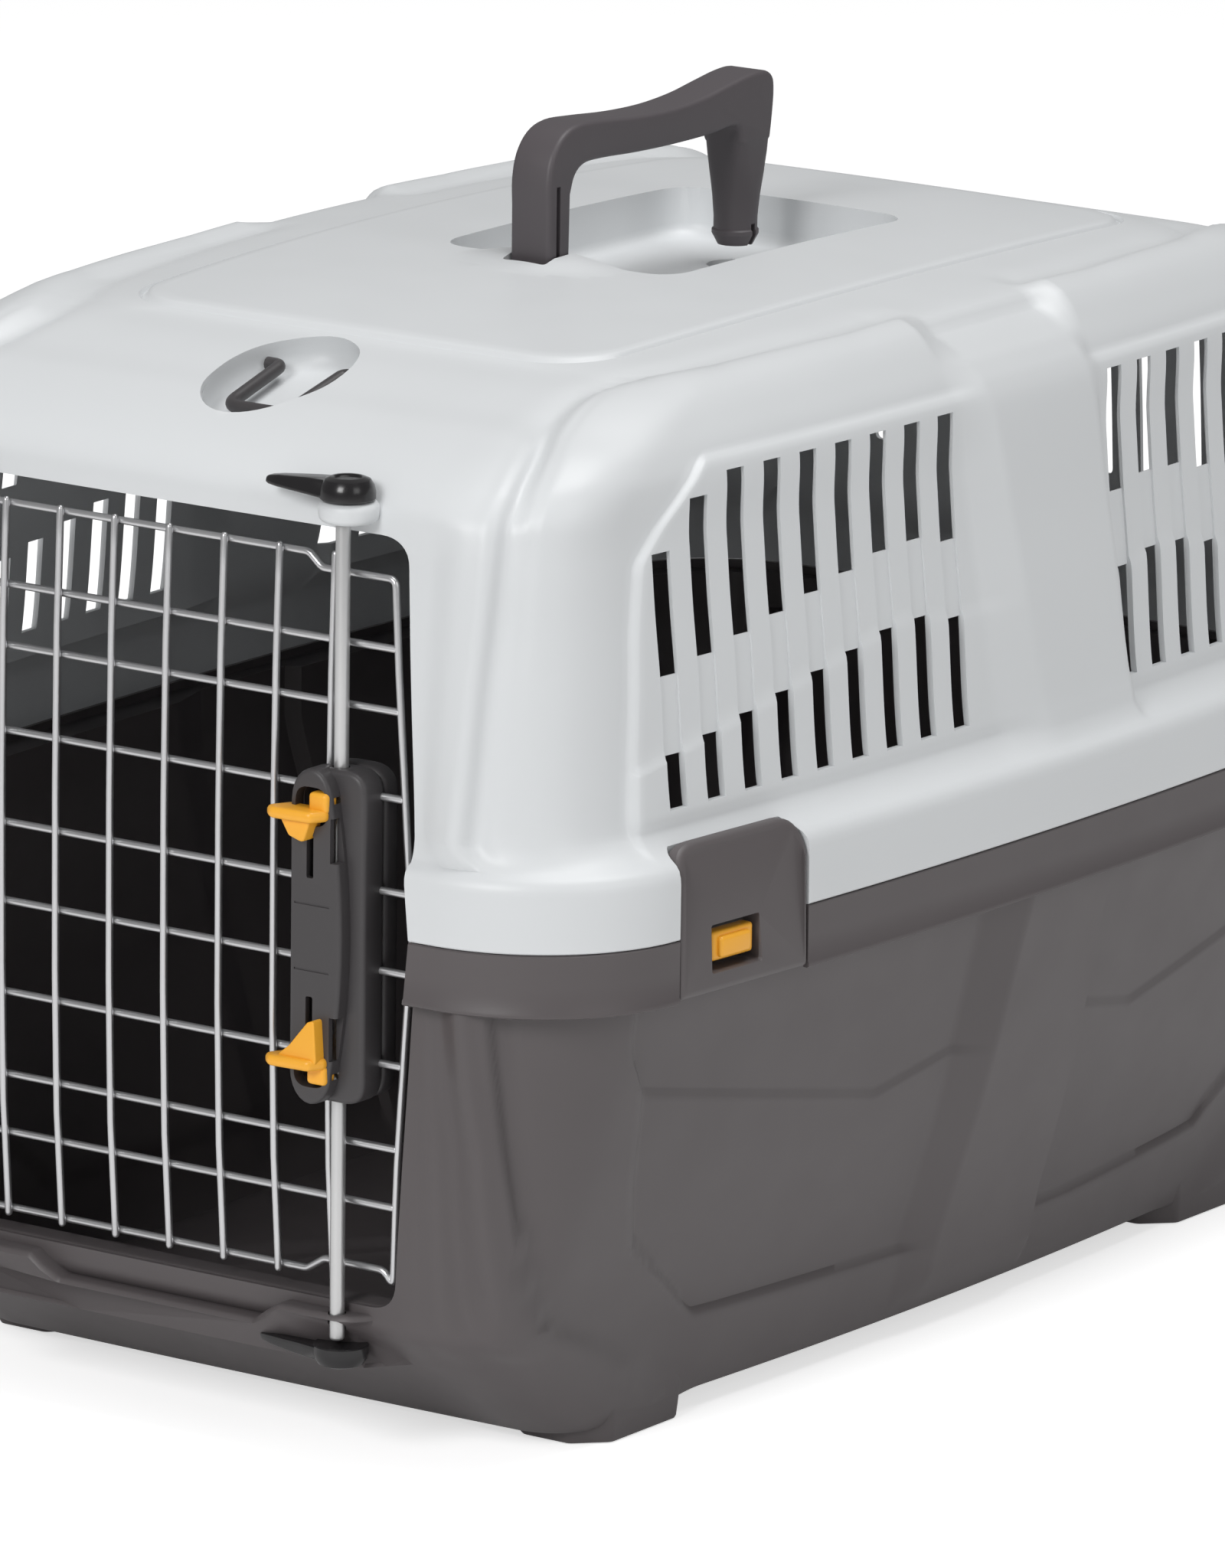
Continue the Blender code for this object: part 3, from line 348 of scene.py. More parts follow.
def evaluated(obj):
    """The object's mesh after its modifiers; the object itself is removed."""
    graph = bpy.context.evaluated_depsgraph_get()
    made = bpy.data.meshes.new_from_object(obj.evaluated_get(graph))
    bpy.data.objects.remove(obj, do_unlink=True)
    return made


def cut(mesh, operation, *others):
    """The mesh after one Boolean with all the others at once (they don't touch one another)."""
    obj, cutter = new_object("work", mesh), new_object("cutter", joined(others))
    modifier = obj.modifiers.new("boolean", "BOOLEAN")
    modifier.operation = operation
    modifier.solver = "MANIFOLD"
    modifier.object = cutter
    made = evaluated(obj)
    bpy.data.objects.remove(cutter, do_unlink=True)
    return made


def joined(meshes):
    """All the meshes as one."""
    bm = bmesh.new()
    for mesh in meshes:
        bm.from_mesh(mesh)
    made = bpy.data.meshes.new("joined")
    bm.to_mesh(made)
    bm.free()
    return made


def box(low, high):
    """An upright box between two corners."""
    (x0, y0, z0), (x1, y1, z1) = low, high
    ring = [(x0, y0), (x1, y0), (x1, y1), (x0, y1)]
    return loft("box", [[(x, y, z) for x, y in ring] for z in (z0, z1)])


def bevelled(mesh, width, segments=3, angle=35.0):
    """Rounds the sharp edges of a mesh."""
    obj = new_object("bevel", mesh)
    modifier = obj.modifiers.new("bevel", "BEVEL")
    modifier.width = width * MM
    modifier.segments = segments
    modifier.limit_method = "ANGLE"
    modifier.angle_limit = math.radians(angle)
    return evaluated(obj)


def oriented(axis, a, b, height):
    """A flat point (a, b) at a height along the axis."""
    return {"z": (a, b, height), "y": (a, height, b), "x": (height, a, b)}[axis]


def prism(outline, low, high, axis="z"):
    """A flat outline extruded along the axis between two heights."""
    return loft("prism", [[oriented(axis, a, b, h) for a, b in outline] for h in (low, high)])


def turn_angles(count):
    """Evenly spaced angles of one full turn."""
    return [2 * math.pi * i / count for i in range(count)]


def circle(x, y, radius, steps):
    """A circle's points round (x, y)."""
    return [(x + radius * math.cos(a), y + radius * math.sin(a)) for a in turn_angles(steps)]


def lathe(profile, place, axis="z", steps=36):
    """A turned body; profile is (radius, height) from the bottom up, closed on the axis."""
    rings = []
    for radius, height in profile:
        flat = circle(0.0, 0.0, max(radius, AXIS_HOLE), steps)
        rings.append([tuple(p + q for p, q in zip(oriented(axis, u, v, height), place)) for u, v in flat])
    return loft("turned", rings)


def corner_curve(start, corner, end, steps):
    """Points of a rounded corner, from its start to its end."""
    shares = [k / steps for k in range(steps + 1)]
    return [(1 - t) ** 2 * start + 2 * t * (1 - t) * corner + t * t * end for t in shares]


def rounded_outline(points, radii, steps=6):
    """A closed polygon with each corner rounded by its radius."""
    made = []
    count = len(points)
    for i, (x, y) in enumerate(points):
        radius = radii[i] if isinstance(radii, (list, tuple)) else radii
        here = np.array((x, y), float)
        back = np.array(points[i - 1], float) - here
        ahead = np.array(points[(i + 1) % count], float) - here
        lb, la = np.linalg.norm(back), np.linalg.norm(ahead)
        back, ahead = back / lb, ahead / la
        bend = math.acos(float(np.clip(back @ ahead, -1, 1)))
        reach = min(radius / math.tan(bend / 2), 0.48 * lb, 0.48 * la) if bend < NEARLY_STRAIGHT else 0.0
        if reach < 1e-3:
            made.append((x, y))
            continue
        start, end = here + back * reach, here + ahead * reach
        made += [tuple(point) for point in corner_curve(start, here, end, steps)]
    return made


def rounded_box(x0, x1, y0, y1, radius, steps=6):
    """A rectangle with rounded corners."""
    return rounded_outline([(x0, y0), (x1, y0), (x1, y1), (x0, y1)], radius, steps)


def dense(outline, spacing):
    """A closed outline with points added, so that none are much further apart than the spacing."""
    points = []
    for a, b in zip(outline, outline[1:] + outline[:1]):
        count = max(1, int(math.hypot(b[0] - a[0], b[1] - a[1]) / spacing))
        for k in range(count):
            points.append((a[0] + (b[0] - a[0]) * k / count, a[1] + (b[1] - a[1]) * k / count))
    return points


def tube(path, radius, sides=14, cyclic=False):
    """A round wire along a path; radius may be one number or one per point."""
    path = [np.array(p, float) for p in path]
    count = len(path)
    radii = radius if isinstance(radius, (list, tuple)) else [radius] * count
    rings = []
    side = None
    for i in range(count):
        back = path[i] - path[i - 1] if (i or cyclic) else path[1] - path[0]
        ahead = path[(i + 1) % count] - path[i] if (i < count - 1 or cyclic) else back
        way = back / np.linalg.norm(back) + ahead / np.linalg.norm(ahead)
        way = way / np.linalg.norm(way)
        if side is None:
            helper = np.array((0.0, 0.0, 1.0)) if abs(way[2]) < 0.8 else np.array((0.0, 1.0, 0.0))
            side = np.cross(way, helper)
        side = side - way * (side @ way)
        side = side / np.linalg.norm(side)
        other = np.cross(way, side)
        rings.append([path[i] + radii[i] * (side * math.cos(a) + other * math.sin(a))
                      for a in turn_angles(sides)])
    return loft("tube", rings, cyclic=cyclic)


def filleted(points, radius, steps):
    """An open 3-D path with rounded corners."""
    points = [np.array(p, float) for p in points]
    made = [points[0]]
    for back, here, ahead in zip(points, points[1:], points[2:]):
        lb, la = np.linalg.norm(back - here), np.linalg.norm(ahead - here)
        reach = min(radius, 0.45 * lb, 0.45 * la)
        start, end = here + (back - here) / lb * reach, here + (ahead - here) / la * reach
        made += corner_curve(start, here, end, steps)
    return made + [points[-1]]


def frame_of(matrix):
    """A placing matrix given in millimetres, as metres."""
    made = matrix.copy()
    made.translation = made.translation * MM
    return made


# ------------------------------------------------------------------ materials
def node(tree, kind, **settings):
    """A new shader node; a setting goes to the input of its name, or else to the node's property."""
    made = tree.nodes.new(kind)
    for key, value in settings.items():
        socket = key.replace("_", " ")
        if socket in made.inputs:
            made.inputs[socket].default_value = value
        else:
            setattr(made, key, value)
    return made


def plastic(name, colour, roughness, variation, grain=0.06, painted_edge_highlight=0.10, metallic=0.0, scale=1.0):
    """Moulded plastic or drawn wire: mottled colour, fine grain, uneven gloss and a painted highlight along
    sharp edges.
    """
    material = bpy.data.materials.new(name)
    material.use_nodes = True
    tree = material.node_tree
    link = tree.links.new
    shader = tree.nodes["Principled BSDF"]
    shader.inputs["Metallic"].default_value = metallic
    place = node(tree, "ShaderNodeTexCoord")
    broad = node(tree, "ShaderNodeTexNoise", Scale=9.0 * scale, Detail=3.0)
    fine = node(tree, "ShaderNodeTexNoise", Scale=900.0 * scale, Detail=2.0)
    smear = node(tree, "ShaderNodeTexNoise", Scale=38.0 * scale, Detail=4.0)
    for texture in (broad, fine, smear):
        link(place.outputs["Object"], texture.inputs["Vector"])
    tint = node(tree, "ShaderNodeMix", data_type="RGBA")
    tint.inputs[6].default_value = shade(colour, 1 - variation)
    tint.inputs[7].default_value = shade(colour, 1 + variation)
    link(broad.outputs["Fac"], tint.inputs[0])
    # Painted highlight: where the surface is sharply convex (high pointiness) the colour is lightened towards
    # a paler tint, in place of light caught on the edges.
    geometry = node(tree, "ShaderNodeNewGeometry")
    edge = node(tree, "ShaderNodeMapRange", From_Min=0.53, From_Max=0.66, To_Max=painted_edge_highlight)
    link(geometry.outputs["Pointiness"], edge.inputs["Value"])
    edge_highlight_mix = node(tree, "ShaderNodeMix", data_type="RGBA")
    edge_highlight_mix.inputs[7].default_value = shade(colour, 1.5, 0.05)
    link(edge.outputs["Result"], edge_highlight_mix.inputs[0])
    link(tint.outputs[2], edge_highlight_mix.inputs[6])
    link(edge_highlight_mix.outputs[2], shader.inputs["Base Color"])
    gloss = node(tree, "ShaderNodeMapRange", To_Min=roughness - 0.05, To_Max=roughness + 0.07)
    link(smear.outputs["Fac"], gloss.inputs["Value"])
    link(gloss.outputs["Result"], shader.inputs["Roughness"])
    bump = node(tree, "ShaderNodeBump", Strength=grain, Distance=0.0003)
    link(fine.outputs["Fac"], bump.inputs["Height"])
    link(bump.outputs["Normal"], shader.inputs["Normal"])
    return material


def shade(colour, factor, added=0.0):
    """A lighter or darker colour, with its alpha."""
    return [min(1.0, c * factor + added) for c in colour] + [1.0]


PALE = plastic("pale_shell_plastic", (0.655, 0.672, 0.684), 0.42, 0.02)
SHELL = plastic("dark_shell_plastic", (0.090, 0.079, 0.081), 0.46, 0.05)
STEEL = plastic("drawn_steel_wire", (0.62, 0.62, 0.63), 0.30, 0.05, grain=0.05, painted_edge_highlight=0.05, metallic=0.9)
BRIGHT = plastic("bright_steel_rod", (0.6, 0.6, 0.6), 0.30, 0.04, grain=0.04, painted_edge_highlight=0.05, metallic=0.7)
FITTING = plastic("dark_fitting_plastic", (0.050, 0.046, 0.048), 0.42, 0.06)
HANDLE = plastic("handle_plastic", (0.082, 0.072, 0.078), 0.48, 0.06)
CLIP = plastic("clip_plastic", (0.094, 0.083, 0.085), 0.46, 0.05)
BLACK = plastic("black_plastic", (0.012, 0.011, 0.012), 0.22, 0.05)
YELLOW = plastic("yellow_plastic", (0.90, 0.42, 0.03), 0.36, 0.05)


def piece(name, mesh, material, body, node_name, angle):
    """A finished piece that rides on a body and stands for one CAD node."""
    mesh.shade_smooth()
    mesh.set_sharp_from_angle(angle=math.radians(angle))
    mesh.materials.clear()
    mesh.materials.append(material)
    obj = new_object(name, mesh)
    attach(obj, body)
    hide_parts(node_name)


# ------------------------------------------------------------------ upper shell
def band_low(step):
    """Lower edge of the plain band between the slot rows, slots counted from the pillar."""
    return BAND_LOW - 4.0 * np.maximum(step - 1.6, 0) - 3.6 * np.maximum(1.2 - step, 0)


def band_at(y):
    """Lower edge of the band at y, held level past the outermost slot."""
    return band_low(np.clip((np.abs(y) - SLOT_FIRST) / SLOT_PITCH, 0, SLOT_COUNT + 0.5))


def window_edge(z, inset):
    """|y| of the ventilation window's outer edge at height z."""
    return along(z, (228, 249), (261, 247), (288, 246), (314, 241), (330, 236), (341.5, 224), (352.5, 209),
                 (361, 196), (372, 172), (385, 140)) - inset


def pillar_edges(z):
    """y of the slanted middle pillar's edges: its front foot and crest, then its rear crest and foot."""
    edges = ((-33, -47, -50), (-4, -29, -34), (52, 37, 34), (57, 45, 46))
    return [along(z, (232, low), (358, high), (385, top)) for low, high, top in edges]


UPPER_COUNTS = (10, 5, 60, 9, 26, 4, 58, 5, 10)


def upper_breaks(z, end):
    """y of the lines that the wall's columns follow, from the front end to the rear end."""
    outer, inner = window_edge(z, 0.0), window_edge(z, 5.0)
    return [-end, -outer, -inner, *pillar_edges(z), inner, outer, end]


def valley_x(y):
    """|x| of the soft valley between the roof with its front arch and the side bulges."""
    return along(np.abs(y), (0, 138), (80, 138), (155, 130), (188, 120), (206, 116.5), (219, 118), (237, 122),
                 (253, 128), (270, 133), (300, 134))


def pillar_rise(z):
    """How far the middle pillar stands proud at height z."""
    return along(z, (232, 7), (345, 7.6), (355, 7.6), (362, 7), (369, 5), (375, 1.5), (379, -1),
                 (381.3, -2.2), (382.5, -2.6), (383.5, -1.6), (385, 0))


def upper_relief(x, y, z, pillar, window):
    """How far the outer face stands off the base form, point by point."""
    arch_x = along(z, (236, 132.8), (277, 134.6), (318, 136), (347, 137), (355, 136))
    in_front = smooth(-y, 225, 245) + smooth(y, 225, 245)
    valley = valley_x(y)
    line = arch_x + (valley + 2.0 - arch_x) * smooth(z, 330, 364)
    arch = 2.2 * smooth(x, line + 2.6, line - 1.6) * in_front * smooth(z, 384, 366)
    bead = 1.3 * swell(x - line + 3.5, 3.6) * in_front * smooth(z, 384, 356)
    groove = -1.2 * swell(x - line - 4.5, 4.0) * in_front * smooth(z, 384, 366)
    bulge = 4.6 * smooth(x, valley - 1, valley + 12) * smooth(z, 334, 368)
    trough = -2.2 * swell(x - line - 1, 7.5) * smooth(z, 318, 366)
    crease = -0.45 * swell(x - valley - 12.5, 2.2) * smooth(z, 250, 320)
    plateau = 2.6 * window * smooth(z, 361.5, 358.0) * smooth(z, 233, 237)
    ridge_at = along(z, (240, -117), (339, -113), (354, -106), (369, -78))
    ridge = 1.8 * swell(x - np.abs(y) - ridge_at, 22.0) * smooth(z, 385, 340) * in_front
    shoulder = (1 - pillar) * (bulge + trough + crease + plateau) + upper_tier(y, z, pillar, window)
    return arch + bead + groove + ridge + shoulder + pillar * pillar_rise(z) - surround_drop(x, y, z)


def upper_tier(y, z, pillar, window):
    """Below the band the window's bars stand a little further out."""
    low = band_at(y)
    return 1.1 * (1 - pillar) * window * smooth(z, low + 0.6, low - 1.0) * smooth(z, 233, 240)


def surround_drop(x, y, z):
    """The doorway's surround falls back towards the opening."""
    end = smooth(np.abs(y), 262, 280)
    return 4.5 * smooth(np.abs(x), 128, 112) * smooth(z, 352, 332) * smooth(z, 40, 62) * end


def upper_lift(x, y, z):
    """The roof rises a little from its ends to its middle."""
    return ROOF_RISE * smooth(z, 345, ROOF_EDGE) * np.maximum(0, 1 - (y / ROOF_HALF[1]) ** 2)


def roof_z(x, y):
    """Height of the roof panel inside its edge."""
    middle = np.maximum(0, 1 - (y / ROOF_HALF[1]) ** 2)
    crown = ROOF_CROWN * np.maximum(0, 1 - (x / ROOF_HALF[0]) ** 2) * np.sqrt(middle)
    return ROOF_EDGE + ROOF_RISE * middle + crown


def band_warp(z, y):
    """Shifts the grid rows so that one of them runs along the band's lower edge."""
    fade = np.clip(1 - np.abs(z - BAND_ROW) / 44.0, 0, 1) * smooth(np.abs(y), 266, 240)
    return (band_at(y) - BAND_ROW) * fade


def shares(counts):
    """Shares of each side column that belong to the pillar and to the windows, as two rows."""
    pillar, window = [], []
    for k, count in enumerate(counts):
        for i in range(count):
            t = i / count
            eased = t * t * (3 - 2 * t)
            pillar.append(PILLAR_AT[k] + (PILLAR_AT[k + 1] - PILLAR_AT[k]) * t)
            window.append(WINDOW_AT[k] + (WINDOW_AT[k + 1] - WINDOW_AT[k]) * eased)
    ends = [0.0] * SIDE_START
    return [np.array([ends + values + [0.0] + ends]) for values in (pillar, window)]


def wall_grid(levels, heights, breaks, counts, warp, lift):
    """The base form of a shell's wall as a (row, column, 3) grid of its right half."""
    rows = []
    for z in heights:
        w, l, c = plan_at(levels, z)
        columns = np.array(side_columns(breaks(z, split_y(w, l, c)), counts))
        z_here = z + warp(z, columns)
        ws, ls, cs = monotone(levels, z_here)
        side = side_x(columns, ws, ls, cs)
        cx, _, _ = corner_centre(ws, ls, cs)
        side_y = stretched(columns, ls, cx)
        xs, ys = half_outline(w, l, c, columns)
        xs[SIDE_START:-SIDE_START] = side
        ys[SIDE_START:-SIDE_START] = side_y
        zs = np.full(len(xs), float(z))
        zs[SIDE_START:-SIDE_START] = z_here
        rows.append(np.stack([xs, ys, zs + lift(xs, ys, zs)], axis=1))
    return np.array(rows)


def plain_row(plan, z, columns_like):
    """One plain ring at height z whose columns line up with a wall row's columns."""
    scale = split_y(*plan) / abs(columns_like[SIDE_START])
    columns = columns_like[SIDE_START:-SIDE_START] * scale
    xs, ys = half_outline(*plan, list(columns))
    return np.stack([xs, ys, np.full(len(xs), float(z))], axis=1)


def rim_row(inset, z, columns_like):
    """A ring of the rim, so far inside its outer face."""
    return plain_row([size - inset for size in RIM], z, columns_like)


def heights_of(*spans):
    """Heights of the grid's rows; each span is (low, high, step)."""
    return [z for low, high, step in spans for z in np.arange(low, high, step)]


def upper_heights():
    """Rows of the upper wall, closer together where it rolls over into the roof."""
    wall = heights_of((236.0, 340.0, 2.6), (341.0, 356.0, 2.0), (356.5, 379.0, 1.25))
    edge = [379.6, 380.5, 381.3, 382.0, 382.5, 383.0, 383.4, 383.8, 384.1, 384.4, 384.7, ROOF_EDGE]
    return wall + edge


def upper_shell_mesh():
    """The upper shell before its cuts: rim, ledge, wall and roof, outside and inside."""
    base = wall_grid(UPPER_LEVELS, upper_heights(), upper_breaks, UPPER_COUNTS, band_warp, upper_lift)
    x, y, z = np.moveaxis(base, 2, 0)
    normal = normals(base)
    pillar, window = shares(UPPER_COUNTS)
    outer = base + normal * upper_relief(x, y, z, pillar, window)[..., None]
    thinned = 0.6 * window * (1 - pillar) * smooth(z, 366, 359) * smooth(z, 233, 238)
    inner = outer - normal * (WALL + upper_tier(y, z, pillar, window) - thinned)[..., None]
    guide = base[0][:, 1]
    foot = SEAM + SEAM_GAP / 2
    # The rim's outer face and its rounded top edge, as (inset, height).
    profile = ((0.5, foot), (0.0, foot + 0.5), (0.0, 210.0), (0.0, 220.0), (0.3, 222.2), (1.2, 224.4),
               (2.8, 226.0), (5.0, LEDGE_LOW))
    outer_rim = [rim_row(inset, height, guide) for inset, height in profile]
    ledge = []
    for t in (0.3, 0.55, 0.75, 0.9):
        mix = outer_rim[-1] + (outer[0] - outer_rim[-1]) * t
        mix[:, 2] = LEDGE_LOW + (LEDGE_HIGH - LEDGE_LOW) * (0.55 * t + 0.45 * t**3)
        ledge.append(mix)
    # The groove round the roof panel, as (share of the roof's plan, rise).
    groove = [(0.994, -1.5), (0.988, -1.3), (0.980, 0.4), (0.970, PANEL_RISE)]
    edge = outer[-1]
    roof_rows, under_rows = [], []
    for k, rise in groove + [(k, PANEL_RISE) for k in np.linspace(0.94, 0.03, 26)]:
        x, y = edge[:, 0] * k, edge[:, 1] * k
        blend = smooth(1 - k, 0.0, 0.03)
        z = edge[:, 2] * (1 - blend) + roof_z(x, y) * blend
        roof_rows.append(np.stack([x, y, z + rise], axis=1))
        under_rows.append(np.stack([x, y, z - WALL], axis=1))
    inner_ledge = inner[0] * (1, 1, 0) + (0, 0, 232.0)
    inner_profile = ((WALL + 2.0, 223.0), (WALL, 219.0), (WALL, foot))
    inner_rim = [rim_row(inset, height, guide) for inset, height in inner_profile]
    down = roof_rows[::-1] + list(outer[::-1]) + ledge[::-1] + outer_rim[::-1]
    up = inner_rim[::-1] + [inner_ledge] + list(inner[::-2])[::-1] + under_rows
    return closed_rings("upper_shell", down + up)


def surface_y(levels, x, z):
    """y of a shell's front wall at (x, z)."""
    w, l, c = plan_at(levels, z)
    cx, cy, _ = corner_centre(w, l, c)
    x = abs(x)
    y = l + END_BOW * (cx**2 - x**2) if x < cx else cy + math.sqrt(max(c**2 - (x - cx) ** 2, 0.0))
    return float(surround_drop(x, RIM[1], z)) - float(stretched(y, l, cx))


def wall_x(levels, y, z):
    """|x| of a shell's side wall at (y, z)."""
    return float(side_x(y, *plan_at(levels, z)))


def channel_mesh(side, y, low, high, depth_in, depth_out, half):
    """A cutter that follows the wall: from depth_in inside the base face to depth_out outside it."""
    rings = []
    count = max(3, int((high - low) / 6))
    for i in range(count + 1):
        z = low + (high - low) * i / count
        ring = []
        for dy, depth in ((-half, -depth_in), (half, -depth_in), (half, depth_out), (-half, depth_out)):
            x = wall_x(UPPER_LEVELS, y + dy, z) + depth
            ring.append((side * x, y + dy, z))
        rings.append(ring)
    return loft("channel", rings)


def slot_layout():
    """(y, bottom, band low, band high, top) of each slot of a window, outwards from the pillar."""
    layout = []
    for step in range(SLOT_COUNT):
        low = float(band_low(step))
        top = SLOT_HIGH - max(0.0, step - 6) * 7.0 - max(0.0, step - 7) * 10.0
        layout.append((SLOT_FIRST + SLOT_PITCH * step, SLOT_LOW, low, low + BAND_HEIGHT, top))
    return layout


def slot_cutters():
    """Shallow channels over the whole height of each slot, and the slots themselves within them."""
    channels, slots = [], []
    half = SLOT_WIDTH / 2
    for side in (1, -1):
        for end in (1, -1):
            for y, bottom, below, above, top in slot_layout():
                place = end * y
                channels.append(channel_mesh(side, place, bottom, top, -1.8, 9.0, half))
                slots.append(channel_mesh(side, place, bottom + 0.05, below, 9.0, 8.5, half - 0.05))
                slots.append(channel_mesh(side, place, above, top - 0.05, 12.0, 8.5, half - 0.05))
    return channels, slots


def opening_outline(grow=0.0):
    """The hexagonal doorway in (x, z), widest at the seam."""
    mid, end = 115.0 + grow, 102.0 + grow
    low, high = 60.0 - grow, 340.0 + grow
    points = [(-end, low), (end, low), (mid, SEAM), (end, high), (-end, high), (-mid, SEAM)]
    radius = 12.0 + grow
    return rounded_outline(points, [radius, radius, 3.0, radius, radius, 3.0], steps=8)


def opening_cutter():
    """The cutter of the doorway."""
    return prism(opening_outline(), -330.0, -240.0, "y")


def doorway_half(levels, low, high, grow):
    """Points of the doorway's edge between two heights, in order, with y on the wall."""
    outline = dense(opening_outline(grow), 6)
    inside = [low < z < high for _, z in outline]
    start = next(i for i in range(len(outline)) if inside[i] and not inside[i - 1])
    path = [(x, z) for x, z in outline[start:] + outline[:start] if low < z < high]
    first, last = path[0], path[-1]
    near = high if abs(first[1] - high) < abs(first[1] - low) else low
    path = [(first[0], near)] + path[1:-1] + [(last[0], near)]
    return [(x, surface_y(levels, x, z), z) for x, z in path]


def doorway_collar(levels, low, high):
    """The rounded lip and the return flange round one half of the doorway."""
    inner = doorway_half(levels, low, high, 0.0)
    outer = doorway_half(levels, low, high, LIP_WIDTH)
    count = min(len(inner), len(outer))
    pick = [round(i * (len(inner) - 1) / (count - 1)) for i in range(count)]
    other = [round(i * (len(outer) - 1) / (count - 1)) for i in range(count)]
    rings = []
    for a, b in zip(pick, other):
        (xi, yi, zi), (xo, yo, zo) = inner[a], outer[b]
        ring = []
        for t, rise in ((0.0, -0.3), (0.08, 0.45), (0.3, 0.9), (0.6, 0.95), (0.85, 0.6), (1.0, -0.4)):
            ring.append((xi + (xo - xi) * t, yi + (yo - yi) * t - rise * LIP_PROUD, zi + (zo - zi) * t))
        rings.append(ring + [(xo, LIP_BACK, zo), (xi, LIP_BACK, zi)])
    return loft("collar", rings)


def clip_frame(side, end):
    """Frame of a side clip: x outwards, y along the rim, z up, origin on the rim's face."""
    y = CLIP_Y * end
    x = RIM[0] - SIDE_BOW * CLIP_Y**2
    lean = math.atan(2 * SIDE_BOW * CLIP_Y) * end
    place = Matrix.Translation((side * x, y, 0.0)) @ Matrix.Rotation(side * lean, 4, "Z")
    return frame_of(place @ Matrix.Rotation(0.0 if side > 0 else math.pi, 4, "Z"))


def clip_outline(grow=0.0, below=0.0):
    """A side clip's outline in (y, z), rounded at the top."""
    half = CLIP_HALF + grow
    low, high = CLIP_LOW - grow - below, CLIP_HIGH + grow
    points = [(-half, low), (half, low), (half, high), (-half, high)]
    return rounded_outline(points, [1.5, 1.5, 12.0, 12.0], steps=8)


def clip_pockets():
    """Cutters for the clips' pockets, deeper below so that the clips can swing out."""
    pockets = []
    for corner in CORNERS.values():
        pocket = prism(clip_outline(0.5, 3.5), -11.0, 12.0, "x")
        pocket.transform(clip_frame(*corner))
        pockets.append(pocket)
    return pockets


def loop_frame(end):
    """Frame of a strap loop's recess on the roof's slope; y points up the slope."""
    place = Matrix.Translation((0.0, end * LOOP_Y, LOOP_Z))
    turn = Matrix.Rotation(0.0 if end < 0 else math.pi, 4, "Z")
    return frame_of(place @ turn @ Matrix.Rotation(math.radians(LOOP_SLOPE), 4, "X"))


def oval(share, grow=0.0):
    """The dish's oval in a strap loop's frame, shrunk by the share."""
    rx, ry = (radius + grow for radius in DISH_RADII)
    return [(rx * share * math.cos(a), ry * share * math.sin(a)) for a in turn_angles(48)]


def dish(end):
    """The cutter of a strap loop's dish."""
    levels = ((-11.0, 0.80), (-10.4, 0.9), (-8.5, 0.965), (-5, 1.0), (-2, 1.0), (14, 1.03))
    mesh = loft("dish", [[(x, y, height) for x, y in oval(share)] for height, share in levels])
    mesh.transform(loop_frame(end))
    return mesh


def roof_height(x, y):
    """Height of the upper shell's outer face above (x, y), on its sloping end or on the roof."""
    low, high = 345.0, ROOF_EDGE
    if abs(y) < abs(surface_y(UPPER_LEVELS, x, high)):
        return float(roof_z(x, y))
    for _ in range(24):
        middle = (low + high) / 2
        if abs(surface_y(UPPER_LEVELS, x, middle)) > abs(y):
            low = middle
        else:
            high = middle
    return low


def dish_pan(end):
    """The pan under a strap loop's dish; its rim runs just below the roof's outer face."""
    place = loop_frame(end)
    rings = []
    for height, share in ((-13.5, 0.82), (-12.5, 0.93), (-10.0, 1.0), (None, 1.0)):
        ring = []
        for local_x, local_y in oval(share, DISH_WALL):
            x, y, z = place @ (Vector((local_x, local_y, height or 0.0)) * MM) / MM
            ring.append((x, y, roof_height(x, y) - 0.9 if height is None else z))
        rings.append(ring)
    return loft("dish_pan", rings)


def recess_rings(grow, top):
    """Rings of the handle's recess from its floor up; the floor meets the walls in a fillet."""
    floor = RECESS_FLOOR - grow
    rings = []
    for rise, draw in ((0.0, 4.5), (0.6, 2.4), (1.6, 1.0), (3.2, 0.2), (5.0, 0.0), (None, -1.2)):
        x, y0, y1 = RECESS_X + grow - draw, RECESS_Y[0] - grow + draw, RECESS_Y[1] + grow - draw
        outline = rounded_box(-x, x, y0, y1, 16.0 + grow, steps=8)
        rings.append([(a, b, top(a, b) if rise is None else floor + rise) for a, b in outline])
    return rings


